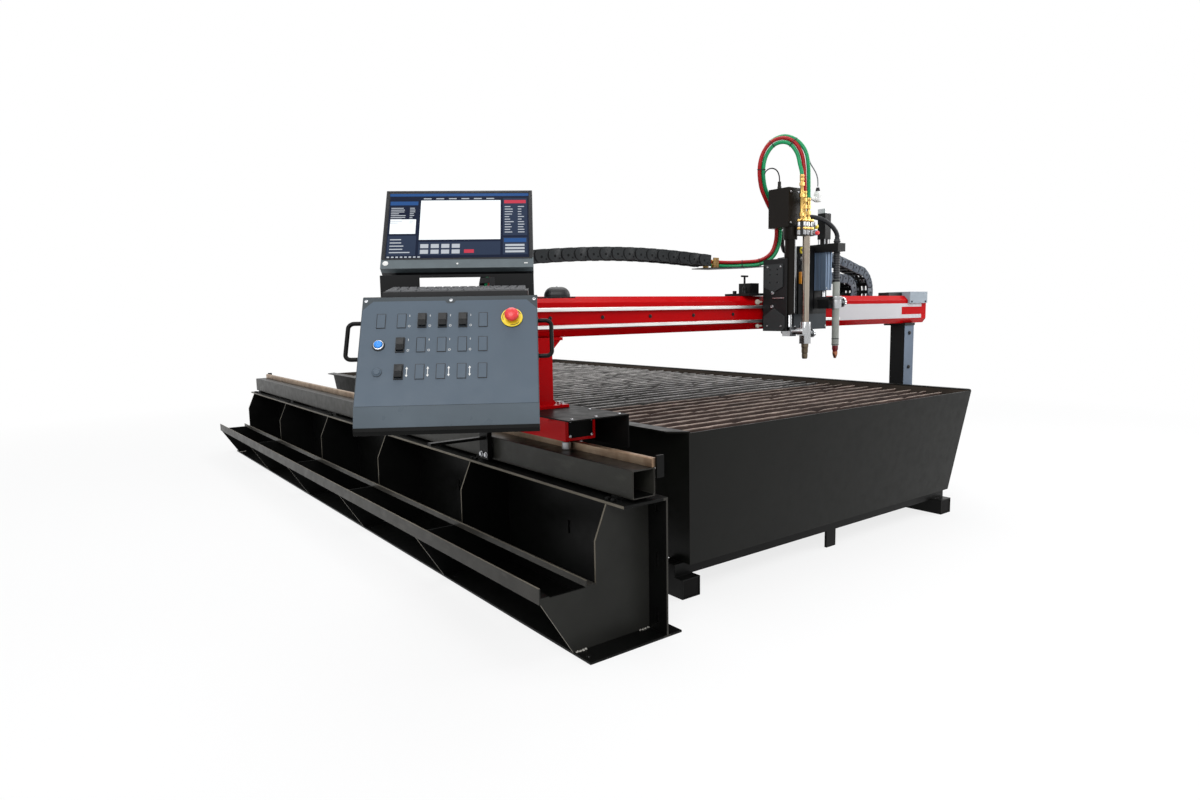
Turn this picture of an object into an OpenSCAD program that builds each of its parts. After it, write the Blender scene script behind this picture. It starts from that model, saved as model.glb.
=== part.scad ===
// Gantry cutting table with an oxy-fuel torch, a plasma torch and an operator console.
// X runs across the rails, Y along them away from the operator, Z up.
// The origin is on the floor under the near end of the master rail's centre line.

/* [Rail stand] */
// Length of the master rail tube
rail_len = 5060; // [4600:10:6000]
// Outside width and height of the rail tubes
tube_w = 100; // [90:1:110]
// Wall thickness of the rail tubes
tube_wall = 6; // [4:0.5:10]
// Height of the rail tube's top above the floor
tube_top = 611; // [590:1:640]
// Thickness of the stand's base plate
base_t = 8; // [6:1:16]
// Reach of the base plate to the left of the rail
base_left = 240; // [220:1:280]
// Reach of the base plate to the right of the rail
base_right = 163; // [140:1:200]
// Overhang of the base and top plates past the rail's ends
plate_over = 6; // [2:1:20]
// Thickness of the web and of the ribs
web_t = 8; // [5:1:12]
// Right face of the web, from the rail's centre line
web_x = 100; // [90:1:115]
// Thickness of the top plate
top_t = 10; // [6:1:16]
// Reach of the top plate to the left of the rail
top_left = 94; // [88:1:110]
// Height of the levelling pads under the rail tube
pad_h = 11; // [8:1:16]
// Number of ribs
rib_count = 6; // [4:1:8]
// Distance of the end ribs from the rail's ends
rib_inset = 87; // [60:1:140]
// Reach of the tray to the left of the rail
tray_reach = 366; // [330:1:400]
// Height of the tray floor
tray_z = 221; // [200:1:240]
// Thickness of the tray's angle sections
tray_t = 5; // [3:0.5:8]
// Height of the tray's outer lip above the tray floor
lip_h = 39; // [25:1:60]
// Radius of the floor anchor holes
anchor_r = 8; // [6:0.5:10]
// Distance of the anchor holes from the base plate's edges
anchor_inset = 25; // [18:1:35]

/* [Rail bar and rack] */
// Width of the running bar
bar_w = 22; // [16:1:30]
// Height of the running bar
bar_h = 32; // [28:1:40]
// Part of the bar's width that stands on the tube
bar_seat = 16; // [10:1:16]
// Gear module of the rack
rack_m = 4; // [3:0.5:5]
// Thickness of the rack behind its teeth
rack_back = 14; // [10:1:18]
// Height of the rack
rack_h = 30; // [24:1:34]
// Depth of the rack's top edge below the tube's top
rack_drop = 7; // [4:1:12]
// Pressure angle of the rack and pinion
press_angle = 25; // [20:1:25]
// Number of teeth on the pinion
pinion_teeth = 14; // [13:1:16]
// Gap between the pitch lines of rack and pinion
backlash = 0.3; // [0.2:0.05:0.6]

/* [Slave rail] */
// Distance of the slave rail's centre line from the tank's right edge
slave_gap = 238; // [220:1:280]
// Start of the slave rail, from the near end of the master rail
slave_start = 440; // [420:1:500]
// Depth of the slave rail's tube below the master rail's
slave_drop = 80; // [70:1:95]
// Width of the slave rail's running bar
slave_bar_w = 30; // [24:1:40]
// Thickness of the slave rail's running bar
slave_bar_h = 12; // [8:1:20]
// Width of the slave rail's posts
post_w = 80; // [60:1:90]
// Number of posts under the slave rail
post_count = 5; // [4:1:7]

/* [Cutting table] */
// Left edge of the tank at its top
tank_left = 342; // [330:1:360]
// Width of the tank at its top
tank_w = 2105; // [2000:5:2600]
// Near edge of the tank at its top
tank_front = 141; // [120:1:170]
// Length of the tank at its top
tank_len = 4086; // [3600:5:4300]
// Height of the tank's rim above the floor
tank_top = 677; // [650:1:690]
// Height of the tank's bottom above the floor
tank_bottom = 132; // [120:1:150]
// How far each wall leans out from bottom to top
tank_flare = 73; // [50:1:90]
// Thickness of the tank's walls
tank_wall = 6; // [4:0.5:10]
// Width of the flange along the tank's left wall
flange_left = 60; // [40:1:66]
// Width of the flange along the tank's right wall
flange_right = 26; // [15:1:40]
// Distance from slat to slat
slat_pitch = 92; // [80:1:110]
// Thickness of a slat
slat_t = 6; // [4:0.5:8]
// Height of a slat
slat_h = 100; // [80:1:110]
// Depth of the slats' top edges below the rim
slat_drop = 17; // [10:1:30]
// Depth of the notches that hold the slats
notch_h = 30; // [20:1:40]
// Length of the near cutting zone, up to the divider
zone_len = 930; // [850:1:1000]
// Width of a skid tube
skid_w = 97; // [80:1:100]
// Height of a skid tube
skid_h = 80; // [70:1:90]

/* [Gantry] */
// Front face of the cross beam, from the near end of the master rail
gantry_y = 650; // [640:1:700]
// Height of the truck's frame
truck_h = 95; // [90:1:110]
// Gap between the running bar and the truck's frame
truck_gap = 7; // [4:1:10]
// Thickness of the truck's plates
truck_t = 8; // [6:1:10]
// Thickness of the carriage's sheet cover
cover_t = 5; // [3:0.5:6]
// Radius of the load wheels
wheel_r = 40; // [34:1:42]
// Radius of the guide rollers
roller_r = 18; // [14:1:20]
// Radius of the wheel axles
axle_r = 8; // [6:0.5:10]
// Running clearance between a wheel and its axle or rail
run_gap = 0.3; // [0.2:0.05:0.5]
// Width and depth of the column
column_w = 150; // [130:1:150]
// Height from the cover to the beam's underside
column_h = 284; // [270:1:320]
// Depth of the cross beam
beam_d = 150; // [130:1:170]
// Height of the cross beam
beam_h = 164; // [160:1:180]
// Left end of the cross beam
beam_left = -100; // [-140:1:-95]
// Overhang of the cross beam past the slave rail's centre line
beam_over = 159; // [120:1:200]
// Wall thickness of the cross beam, the column and the right post
beam_wall = 8; // [5:0.5:10]
// Distance between the two beam rails
rail_gap = 69; // [66:1:72]
// Height of a beam rail
rail_h = 17; // [14:1:18]
// Depth of a beam rail
rail_d = 15; // [12:1:16]
// Width of the right post
leg_w = 100; // [90:1:110]
// Depth of the right post
leg_d = 95; // [80:1:100]

/* [Drag chains] */
// Pitch of the chain links
chain_pitch = 67; // [66:0.5:72]
// Height of the links
chain_h = 58; // [54:1:58]
// Pitch of the cable chains' links
cable_pitch = 55; // [54:0.5:58]
// Height of the cable chains' links
cable_h = 52; // [46:1:53]
// Width over the links' side plates
chain_w = 95; // [80:1:110]
// Thickness of one layer of a side plate
chain_t = 4; // [3:0.5:5]
// Radius of the loop at the middle of the links
loop_r = 130; // [122:1:134]
// Middle of the left chain's loop
loop_a_x = 54; // [30:1:80]
// Middle of the right chain's loop
loop_b_x = 2402; // [2380:1:2440]
// Middle of the inner cable chain's loop
loop_c_x = 2298; // [2280:1:2310]
// Radius of the inner cable chain's loop
loop_c_r = 70; // [69:1:72]

/* [Torch station] */
// Left face of the torch carriage's cheek
station_x = 1322; // [1250:1:1350]
// Thickness of the torch carriage's plates
plate_t = 8; // [6:1:10]
// Diameter of the oxy-fuel lifter's tube
lift_d = 50; // [46:1:54]
// Diameter of the oxy-fuel lifter's rod
lift_rod_d = 25; // [20:0.5:28]
// Diameter of the oxy-fuel torch
oxy_d = 35; // [30:0.5:38]
// Diameter of the plasma torch
plasma_d = 35; // [30:0.5:36]
// Width of the plasma lifter's profile
profile_w = 50; // [46:1:56]
// Diameter of the gas hoses
hose_d = 18; // [15:0.5:18]
// Diameter of the plasma lead
lead_d = 22; // [18:0.5:24]

/* [Console] */
// Swivel axis of the console, across the rails
console_x = -560; // [-620:1:-540]
// Swivel axis of the console, along the rails
console_y = 209; // [180:1:240]
// Turn of the console towards the operator
console_yaw = -33; // [-45:1:0]
// Width of the console
console_w = 490; // [470:1:520]
// Length of the front panel up its slope
panel_h = 406; // [396:1:420]
// Lean of the front panel from upright
panel_tilt = 31.6; // [28:0.2:34]
// Thickness of the front panel
panel_t = 4; // [3:0.5:5]
// Length of the lip along the panel's lower edge
lip_len = 66; // [50:1:70]
// Width of the monitor
monitor_w = 490; // [460:1:500]
// Height of the monitor
monitor_h = 322; // [300:1:345]
// Thickness of the monitor
monitor_t = 38; // [30:1:45]
// Lean of the monitor from upright
monitor_tilt = 33; // [20:1:35]
// Distance between the columns of switches
switch_pitch = 56.3; // [52:0.1:57]
// Width of a switch plate
switch_w = 25; // [22:1:28]
// Height of a switch plate
switch_h = 46; // [42:1:50]

/* [Hidden] */
$fn = 48;

// Heights that follow from the rail
tube_bottom = tube_top - tube_w;
top_z = tube_bottom - pad_h;
running_z = tube_top + bar_h;
truck_z = running_z + truck_gap;
truck_top = truck_z + truck_h;
cover_top = truck_top + cover_t;
beam_z = cover_top + column_h;
beam_top = beam_z + beam_h;

// Rail bar, rack and pinion
bar_x = tube_w / 2 - bar_seat;
bar_mid = bar_x + bar_w / 2;
rack_pitch = 180 * rack_m * PI / 180;
rack_root = tube_w / 2 + rack_back;
rack_line = rack_root + 1.25 * rack_m;
rack_z = tube_top - rack_drop - rack_h;
pinion_r = pinion_teeth * rack_m / 2;
pinion_x = rack_line + pinion_r + backlash;
pinion_y = (floor((gantry_y + 202) / rack_pitch) + 0.5) * rack_pitch;
rib_pitch = (rail_len - 2 * rib_inset - web_t) / (rib_count - 1);

// Slave rail and beam
slave_x = tank_left + tank_w + slave_gap;
beam_right = slave_x + beam_over;

// Truck and wheels
truck_x0 = -20;
truck_x1 = 120;
truck_left = -94;
truck_y0 = gantry_y - 220;
truck_y1 = gantry_y + 360;
wheel_front_y = gantry_y - 105;
wheel_rear_y = gantry_y + 300;
roller_y = gantry_y - 175;
roller_z = tube_top + 3;
roller_h = bar_h - 6;
column_x1 = 76;
column_x0 = column_x1 - column_w;
slave_top = tube_top - slave_drop;
slave_running_z = slave_top + slave_bar_h;
right_wheel_r = 45;
right_truck_z = slave_running_z + 20;
right_truck_y0 = gantry_y - 130;
right_truck_y1 = gantry_y + 240;
right_wheel_inset = 58;
right_truck_h = 90;

// Drag chains
chain_y = gantry_y + beam_d + 25;
loop_z = beam_z + 198;
chain_tray_z = loop_z - loop_r - chain_h / 2;
chain_a_end = station_x - 172;
chain_a_end_z = beam_z + 344;
chain_b_end = station_x + 513;
chain_b_end_z = beam_z + 406;
chain_c_end = station_x + 478;
chain_c_end_z = beam_z + 260 + cable_h / 2;
chain_a_fixed = 700;
chain_b_fixed = 1500;
chain_c_fixed = 1700;
cable_loop_z = chain_tray_z + cable_h / 2 + loop_r;

// Torch station
rail_low_z = beam_z + 41;
rail_high_z = rail_low_z + rail_gap;
plate_y = gantry_y - 50;
station_w = 463;
lift_x = station_x + 41;
lift_y = gantry_y - 148;
lift_z0 = beam_z + 73;
lift_z1 = beam_z + 486;
oxy_x = station_x + 83;
oxy_y = gantry_y - 210;
holder_z = beam_z - 70;
arm_z = beam_z - 12;
plasma_x = station_x + 338;
plasma_y = gantry_y - 200;
profile_y = gantry_y - 122;
profile_z0 = beam_z + 189;
profile_z1 = beam_z + 378;
clamp_z = beam_z + 96;
knob_x = oxy_x + 35;

// Console
arm_w = 50;
arm_h = 45;
arm_low_z = truck_top + 45;
console_z = arm_low_z + arm_h + 8;
post_d = 43;
panel_up = [0, sin(panel_tilt), cos(panel_tilt)];
panel_low = [0, -347, console_z - 4];
lip_tilt = 14;
crease = panel_low + lip_len * panel_up;
lip_end = crease - lip_len * [0, sin(lip_tilt), cos(lip_tilt)];
panel_top = panel_low + panel_h * panel_up;
deck_z = panel_top.z - 2;
deck_t = 3;
deck_y1 = 300;
monitor_y = 167;
monitor_x = -12;
monitor_z = deck_z + 100;
row_q = [327, 250, 167];
rockers = [[2, 0], [3, 0], [4, 0], [1, 1], [1, 2]];
blanks = [[0, 0], [1, 0], [5, 0], [2, 1], [3, 1], [4, 1], [5, 1], [2, 2], [3, 2], [4, 2], [5, 2]];
estop_at = [173, 331];
start_at = [-191, 250];
plug_at = [-190, 167];

// Middle of the hose bundle and the route of the plasma lead, with points chosen by hand
bundle_route = [[1205, 872, 1367], [1275, 835, 1362], [1330, 778, 1362], [1380, 705, 1368],
    [1420, 662, 1402], [1444, 648, 1463], [1447, 646, 1537], [1415, 643, 1602], [1360, 638, 1664],
    [1310, 629, 1725], [1281, 614, 1800], [1288, 602, 1866], [1308, 572, 1914], [1334, 531, 1931],
    [1360, 490, 1914], [1380, 459, 1866], [1388, 447, 1800]];
lead_route = [[1660, 450, 1474.3], [1660, 450, 1482], [1660, 450, 1490], [1650, 453, 1512],
    [1626, 463, 1540], [1590, 480, 1565], [1545, 510, 1580], [1510, 560, 1580], [1510, 620, 1565],
    [1550, 690, 1530], [1630, 770, 1485], [1720, 835, 1455], [1775, 866, 1444], [1829, 872, 1440]];
// The way that the flat of the bundle's loop faces
bundle_face = [0.6, 0.8, -0.1];
// Each hose's last points, down to its own brass column
cutting_drop = [[1369, 456, 1808], [1367, 443, 1770], [1366, 440, 1745], [1366, 440, 1728.3]];
fuel_drop = [[1388, 440, 1700], [1388, 440, 1668], [1388, 440, 1653.3]];
heating_drop = [[1417, 440, 1690], [1417, 440, 1640], [1417, 440, 1624.3]];

function mix(a, b, t) = a + (b - a) * t;
function unit(v) = v / norm(v);

// A hose's distance from the bundle's middle, which changes between two of its points
function eased(i, from, to, first, last) = mix(from, to, min(max((i - first) / (last - first), 0), 1));

// A hose of the bundle, moved across the loop and behind it by one distance for each point
function strand(across, behind) = [for (i = [0 : len(bundle_route) - 1])
    let (t = unit(bundle_route[min(i + 1, len(bundle_route) - 1)] - bundle_route[max(i - 1, 0)]),
        n = unit(cross(t, bundle_face)))
    bundle_route[i] + across[i] * n + behind[i] * cross(n, t)];
bends = [0 : len(bundle_route) - 1];
hose_gap = 1.6;
beside = (hose_d + hose_gap) / 2;
level = [for (i = bends) 0];
cutting_strand = strand([for (i = bends) eased(i, -beside, -2 * beside, 12, 15)], level);
cutting_route = concat([for (i = [0 : len(bundle_route) - 2]) cutting_strand[i]], cutting_drop);
fuel_route = concat(strand([for (i = bends) eased(i, beside, 0, 12, 15)], level), fuel_drop);
heating_route = concat(strand([for (i = bends) eased(i, 0, hose_d + 3, 10, 13)],
    [for (i = bends) eased(i, 2 * beside, 0, 13, 15)]), heating_drop);

// Smooth curve through a route's points
function route_point(p, i, t) =
    let (a = p[max(i - 1, 0)], b = p[i], c = p[i + 1], d = p[min(i + 2, len(p) - 1)])
    0.5 * (2 * b + (c - a) * t + (2 * a - 5 * b + 4 * c - d) * t * t
        + (3 * b - a - 3 * c + d) * t * t * t);
function route_curve(p, steps) =
    concat([for (i = [0 : len(p) - 2]) for (k = [0 : steps - 1]) route_point(p, i, k / steps)],
        [p[len(p) - 1]]);

// Pins of a drag chain from its moving end, round the loop, to its fixed end
function chain_pins(end, loop, r, fixed_x, side, pitch, bow) =
    let (upper = round(abs(end.x - loop.x) / pitch),
        bend = round(PI * r / pitch),
        lower = round(abs(fixed_x - loop.x) / pitch),
        top = loop.y + r)
    concat(
        [for (i = [0 : upper]) let (t = i / upper)
            [mix(end.x, loop.x, t), mix(end.y, top, t) + bow * sin(180 * t)]],
        [for (i = [1 : bend]) let (a = 180 * i / bend)
            [loop.x + side * r * sin(a), loop.y + r * cos(a)]],
        [for (i = [1 : lower]) [mix(loop.x, fixed_x, i / lower), loop.y - r]]);

// Point on an involute, as radius and angle
function involute(r_base, r) =
    let (a = acos(min(1, r_base / r)))
    [r, tan(a) * 180 / PI - a];

// A box from its lowest corner to its highest
module box(a, b) {
    translate(a)
        cube(b - a);
}

// A hollow box section along one axis, open at both ends
module section(a, b, wall, axis) {
    inset = [for (i = [0 : 2]) i == axis ? -1 : wall];
    difference() {
        box(a, b);
        box(a + inset, b - inset);
    }
}

// A round bar between two points
module rod(a, b, d) {
    v = b - a;
    translate(a)
        rotate([0, acos(v.z / norm(v)), atan2(v.y, v.x)])
            cylinder(h = norm(v), d = d);
}

// A plate drawn in X and Z and thick along Y
module plate_xz(points, y, t) {
    translate([0, y + t, 0])
        rotate([90, 0, 0])
            linear_extrude(t)
                polygon(points);
}

// A plate drawn in Y and Z and thick along X
module plate_yz(points, x, t) {
    translate([x, 0, 0])
        rotate([90, 0, 90])
            linear_extrude(t)
                polygon(points);
}

// A block whose top and bottom are rectangles of different size
module frustum(low, high, low_x, low_y, high_x, high_y) {
    points = [[low_x[0], low_y[0], low], [low_x[1], low_y[0], low], [low_x[1], low_y[1], low],
        [low_x[0], low_y[1], low], [high_x[0], high_y[0], high], [high_x[1], high_y[0], high],
        [high_x[1], high_y[1], high], [high_x[0], high_y[1], high]];
    polyhedron(points, [[0, 1, 2, 3], [7, 6, 5, 4], [0, 4, 5, 1], [1, 5, 6, 2], [2, 6, 7, 3],
        [3, 7, 4, 0]]);
}

// A round tube swept along a route
module hose(route, d, steps, side) {
    sides = 8;
    c = route_curve(route, steps);
    n = len(c);
    rings = [for (i = [0 : n - 1])
        let (t = unit(c[min(i + 1, n - 1)] - c[max(i - 1, 0)]), u = unit(cross(t, side)), v = cross(t, u))
        [for (k = [0 : sides - 1]) c[i] + d / 2 * (cos(360 * k / sides) * u + sin(360 * k / sides) * v)]];
    walls = [for (i = [0 : n - 2]) for (k = [0 : sides - 1])
        [i * sides + k, i * sides + (k + 1) % sides, (i + 1) * sides + (k + 1) % sides,
        (i + 1) * sides + k]];
    ends = [[for (k = [0 : sides - 1]) sides - 1 - k], [for (k = [0 : sides - 1]) (n - 1) * sides + k]];
    polyhedron([for (ring = rings) each ring], concat(walls, ends));
}

// Rail stand

module rail_stand() {
    slot_w = 14;
    slot_h = 55;
    slot_heights = [36, 240, 440];
    color("#1b1b1d")
        difference() {
            union() {
                box([-base_left, -plate_over, 0], [base_right, rail_len + plate_over, base_t]);
                box([web_x - web_t, -plate_over, base_t], [web_x, rail_len + plate_over, top_z - top_t]);
                box([-top_left, -plate_over, top_z - top_t], [web_x, rail_len + plate_over, top_z]);
            }
            for (i = [0 : rib_count - 1], x = [-base_left + anchor_inset, base_right - anchor_inset])
                translate([x, anchor_y(i), -1])
                    cylinder(h = base_t + 2, r = anchor_r);
            for (z = slot_heights)
                translate([web_x - web_t - 1, rib_inset / 2 - slot_w / 2, z])
                    cube([web_t + 2, slot_w, slot_h]);
            for (i = [0 : rib_count - 2])
                translate([web_x - web_t - 1, rib_inset + (i + 0.5) * rib_pitch, slot_heights[1]])
                    cube([web_t + 2, slot_w, slot_h]);
        }
}

function rib_y(i) = rib_inset + i * rib_pitch;
function anchor_y(i) = rib_y(i) - 47;

module stand_ribs() {
    shoulder = [144, 370];
    toe_z = 205;
    channel_w = 41;
    channel_h = 24;
    outline = [[web_x - web_t, base_t], [web_x - web_t, top_z - top_t], [-top_left, top_z - top_t],
        [-shoulder.x, shoulder.y], [-shoulder.x, tray_z], [-tray_reach, tray_z], [-tray_reach, toe_z],
        [-base_left - 1, base_t]];
    y0 = rib_inset;
    y1 = rib_y(rib_count - 1) + web_t;
    color("#1b1b1d") {
        for (i = [0 : rib_count - 1])
            plate_xz(outline, rib_y(i), web_t);
        plate_xz([[-tray_reach, toe_z], [-tray_reach, tray_z], [-tray_reach + 35, tray_z],
            [-tray_reach + 35, tray_z + tray_t], [-tray_reach, tray_z + tray_t],
            [-tray_reach, tray_z + lip_h],
            [-tray_reach - tray_t, tray_z + lip_h], [-tray_reach - tray_t, toe_z]], y0, y1 - y0);
        plate_xz([[-shoulder.x - 1, tray_z], [-shoulder.x - 1, tray_z + tray_t],
            [-shoulder.x - channel_w + tray_t, tray_z + tray_t],
            [-shoulder.x - channel_w + tray_t, tray_z + channel_h],
            [-shoulder.x - channel_w, tray_z + channel_h], [-shoulder.x - channel_w, tray_z]], y0,
                y1 - y0);
    }
}

module rail_fittings() {
    pad_len = 60;
    bolt_d = 22;
    bolt_h = 9;
    stop_t = 8;
    stop_w = 32;
    stop_z = tube_top + bar_h + 8;
    color("#2a2a2c") {
        for (i = [0 : rib_count - 1]) {
            box([-tube_w / 2, rib_y(i) - pad_len / 2, top_z],
                [tube_w / 2, rib_y(i) + pad_len / 2, tube_bottom]);
            for (dy = [-16, 16])
                translate([-top_left + 18, rib_y(i) + dy, top_z])
                    cylinder(h = bolt_h, d = bolt_d, $fn = 6);
        }
        for (y = [-stop_t, rail_len])
            box([tube_w / 2, y, rack_z], [tube_w / 2 + stop_w, y + stop_t, stop_z]);
    }
}

module rail_tube() {
    color("#1d1d1f")
        section([-tube_w / 2, 0, tube_bottom], [tube_w / 2, rail_len, tube_top], tube_wall, 1);
}

module rail_bar() {
    edge = 3;
    color("#a58d70")
        plate_xz([[bar_x, tube_top], [bar_x + bar_w, tube_top], [bar_x + bar_w, running_z - edge],
            [bar_x + bar_w - edge, running_z], [bar_x + edge, running_z], [bar_x, running_z - edge]],
                0, rail_len);
}

module gear_rack() {
    teeth = floor(rail_len / rack_pitch);
    slope = tan(press_angle);
    half = rack_pitch / 4;
    root = half + 1.25 * rack_m * slope;
    tip = half - rack_m * slope;
    tip_x = rack_line + rack_m;
    flank = [for (i = [0 : teeth - 1]) let (y = (i + 0.5) * rack_pitch)
        each [[rack_root, y - root], [tip_x, y - tip], [tip_x, y + tip], [rack_root, y + root]]];
    color("#5c5c5e")
        translate([0, 0, rack_z])
            linear_extrude(rack_h)
                polygon(concat([[tube_w / 2, rail_len], [tube_w / 2, 0], [rack_root, 0]], flank,
                    [[rack_root, rail_len]]));
}

module slave_rail() {
    foot_w = 112;
    foot_len = 180;
    foot_t = 10;
    color("#1b1b1d")
        for (i = [0 : post_count - 1]) {
            y = mix(slave_start, rail_len - foot_len, i / (post_count - 1));
            box([slave_x - foot_w / 2, y, 0], [slave_x + foot_w / 2, y + foot_len, foot_t]);
            section([slave_x - post_w / 2, y + (foot_len - post_w) / 2, foot_t],
                [slave_x + post_w / 2, y + (foot_len + post_w) / 2, slave_top - tube_w], tube_wall, 2);
        }
    color("#1d1d1f")
        section([slave_x - tube_w / 2, slave_start, slave_top - tube_w],
            [slave_x + tube_w / 2, rail_len, slave_top], tube_wall, 1);
    color("#a58d70")
        box([slave_x - slave_bar_w / 2, slave_start, slave_top],
            [slave_x + slave_bar_w / 2, rail_len, slave_running_z]);
}

// Cutting table

tank_right = tank_left + tank_w;
tank_back = tank_front + tank_len;
slat_top = tank_top - slat_drop;
slat_z = slat_top - slat_h;
slat_count = floor((tank_len - 110) / slat_pitch);
comb_x = [tank_left + 110, tank_left + tank_w / 2, tank_right - 110];
comb_t = 8;
tank_floor = tank_bottom + tank_wall;
divider_y = tank_front + zone_len;
function slat_y(i) = tank_front + 62 + i * slat_pitch;
function tank_lean(z) = tank_flare * (tank_top - z) / (tank_top - tank_bottom);

module tank_shell() {
    wall = tank_wall;
    lean = tank_flare;
    color("#19191b") {
        difference() {
            frustum(tank_bottom, tank_top,
                [tank_left + lean, tank_right - lean], [tank_front + lean, tank_back - lean],
                [tank_left, tank_right], [tank_front, tank_back]);
            frustum(tank_floor, tank_top + 1,
                [tank_left + lean + wall, tank_right - lean - wall],
                [tank_front + lean + wall, tank_back - lean - wall],
                [tank_left + wall, tank_right - wall], [tank_front + wall, tank_back - wall]);
        }
        translate([0, 0, tank_top])
            linear_extrude(wall)
                polygon([[tank_left + wall, tank_front],
                    [tank_left - flange_left, tank_front + flange_left],
                    [tank_left - flange_left, tank_back - flange_left], [tank_left + wall, tank_back]]);
        translate([0, 0, tank_top])
            linear_extrude(wall)
                polygon([[tank_right - wall, tank_front],
                    [tank_right + flange_right, tank_front + flange_right],
                    [tank_right + flange_right, tank_back - flange_right],
                    [tank_right - wall, tank_back]]);
    }
}

module slat_combs() {
    comb_z = slat_z - 50;
    notch_z = slat_z + notch_h;
    notch_w = slat_t + 0.6;
    leg_len = 60;
    legs = 4;
    y0 = slat_y(0) - 20;
    y1 = slat_y(slat_count - 1) + 20;
    leg_y0 = y0 + tank_flare + 30;
    leg_y1 = y1 - tank_flare - 30 - leg_len;
    notches = [for (i = [0 : slat_count - 1])
        each [[slat_y(i) - notch_w / 2, notch_z], [slat_y(i) - notch_w / 2, slat_z],
            [slat_y(i) + notch_w / 2, slat_z], [slat_y(i) + notch_w / 2, notch_z]]];
    feet = [for (i = [legs : -1 : 0]) let (y = mix(leg_y0, leg_y1, i / legs))
        each [[y + leg_len, comb_z], [y + leg_len, tank_floor], [y, tank_floor], [y, comb_z]]];
    outline = concat([[y0, comb_z], [y0, notch_z]], notches, [[y1, notch_z], [y1, comb_z]], feet);
    color("#2b2826") {
        for (x = comb_x)
            plate_yz(outline, x - comb_t / 2, comb_t);
        box([comb_x[0], divider_slot() - 3, tank_floor], [comb_x[2], divider_slot() + 3, slat_z - 2]);
    }
}

// The divider stands midway between the two slats next to it
function divider_slot() = slat_y(floor((divider_y - slat_y(0)) / slat_pitch) + 0.5);

module support_slats() {
    edge = tank_lean(slat_z) + tank_wall + 6;
    color("#5b4a40")
        for (i = [0 : slat_count - 1])
            box([tank_left + edge, slat_y(i) - slat_t / 2, slat_z],
                [tank_right - edge, slat_y(i) + slat_t / 2, slat_top]);
}

module table_skids() {
    skid_wall = 5;
    skid_over = 6;
    member_w = 80;
    member_count = 5;
    foot_w = 70;
    foot_t = 12;
    y0 = tank_front + tank_flare - skid_over;
    y1 = tank_back - tank_flare + skid_over;
    left = tank_left + tank_flare - 46;
    right = tank_right - tank_flare + 24;
    mid = (left + right) / 2;
    color("#19191b") {
        for (x = [left, right - skid_w])
            section([x, y0, 0], [x + skid_w, y1, skid_h], skid_wall, 1);
        for (i = [0 : member_count - 1]) {
            y = mix(y0 + 45, y1 - 45 - member_w, i / (member_count - 1));
            box([left, y, skid_h], [right, y + member_w, tank_bottom]);
            box([mid - foot_w / 2, y, 0], [mid + foot_w / 2, y + foot_t, skid_h]);
        }
    }
}

// Gantry

module carriage_truck() {
    wheel_bay = wheel_r + 6;
    bracket_x = [-tube_w / 2 - 32, -tube_w / 2 - 10];
    bracket_y = [truck_y1 - 85, truck_y1 - 15];
    bracket_z = top_z + 16;
    tow_reach = 330;
    tow_z = tube_top - 10;
    color("#b3121c") {
        difference() {
            union() {
                box([truck_left, truck_y0, truck_top - truck_t], [truck_x1, truck_y1, truck_top]);
                for (x = [truck_x0, truck_x1 - truck_t])
                    box([x, truck_y0, truck_z], [x + truck_t, truck_y1, truck_top - truck_t]);
                box([truck_x0 + truck_t, truck_y0, truck_z],
                    [truck_x1 - truck_t, truck_y0 + truck_t, truck_top - truck_t]);
            }
            translate([pinion_x, pinion_y, truck_top - truck_t - 1])
                cylinder(h = truck_t + 2, r = axle_r + 1);
        }
        for (y = [wheel_front_y, wheel_rear_y])
            rod([truck_x0 + truck_t, y, running_z + wheel_r + run_gap],
                [truck_x1 - truck_t, y, running_z + wheel_r + run_gap], 2 * axle_r);
        for (x = roller_xs())
            rod([x, roller_y, roller_z], [x, roller_y, truck_top - truck_t], roller_r);
    }
    color("#1d1d1f") {
        box([bracket_x[0], bracket_y[0], bracket_z], [bracket_x[1], bracket_y[1], truck_top - truck_t]);
        box([-tow_reach, bracket_y[0] + 20, tow_z], [bracket_x[0], bracket_y[1] - 20, tow_z + 12]);
    }
}

function roller_xs() = [bar_x - roller_r - run_gap, bar_x + bar_w + roller_r + run_gap];

module carriage_cover() {
    front = truck_y0 - 130;
    right = truck_x1 + 64;
    skirt_z = tube_top + 11;
    skirt_len = 400;
    corner = 14;
    face_w = truck_x1 - truck_x0 - 2 * truck_t - 12;
    color("#3a3a3d") {
        difference() {
            union() {
                box([truck_left, front, truck_top], [right, truck_y1, cover_top]);
                box([right - cover_t, front, skirt_z], [right, front + skirt_len, truck_top]);
            }
            translate([pinion_x, pinion_y, truck_top - 1])
                cylinder(h = cover_t + 2, r = axle_r + 1);
        }
        translate([(truck_x0 + truck_x1) / 2, truck_y0, truck_z + truck_h / 2])
            rotate([90, 0, 0])
                linear_extrude(3)
                    difference() {
                        square([face_w, truck_h - 22], center = true);
                        for (sx = [-1, 1], sz = [-1, 1])
                            translate([sx * face_w / 2, sz * (truck_h - 22) / 2])
                                rotate(45)
                                    square(corner, center = true);
                    }
    }
}

module drive_motor() {
    box_w = 80;
    gear_h = 90;
    motor_d = 72;
    motor_h = 110;
    cap_h = 16;
    color("#232325")
        translate([pinion_x, pinion_y, cover_top]) {
            translate([-box_w / 2, -box_w / 2, 0])
                cube([box_w, box_w, gear_h]);
            translate([0, 0, gear_h])
                cylinder(h = motor_h, d = motor_d);
            translate([0, 0, gear_h + motor_h])
                cylinder(h = cap_h, d1 = motor_d, d2 = motor_d - 14);
            translate([motor_d / 2 - 12, -14, gear_h + 20])
                cube([34, 28, 36]);
        }
}

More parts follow.
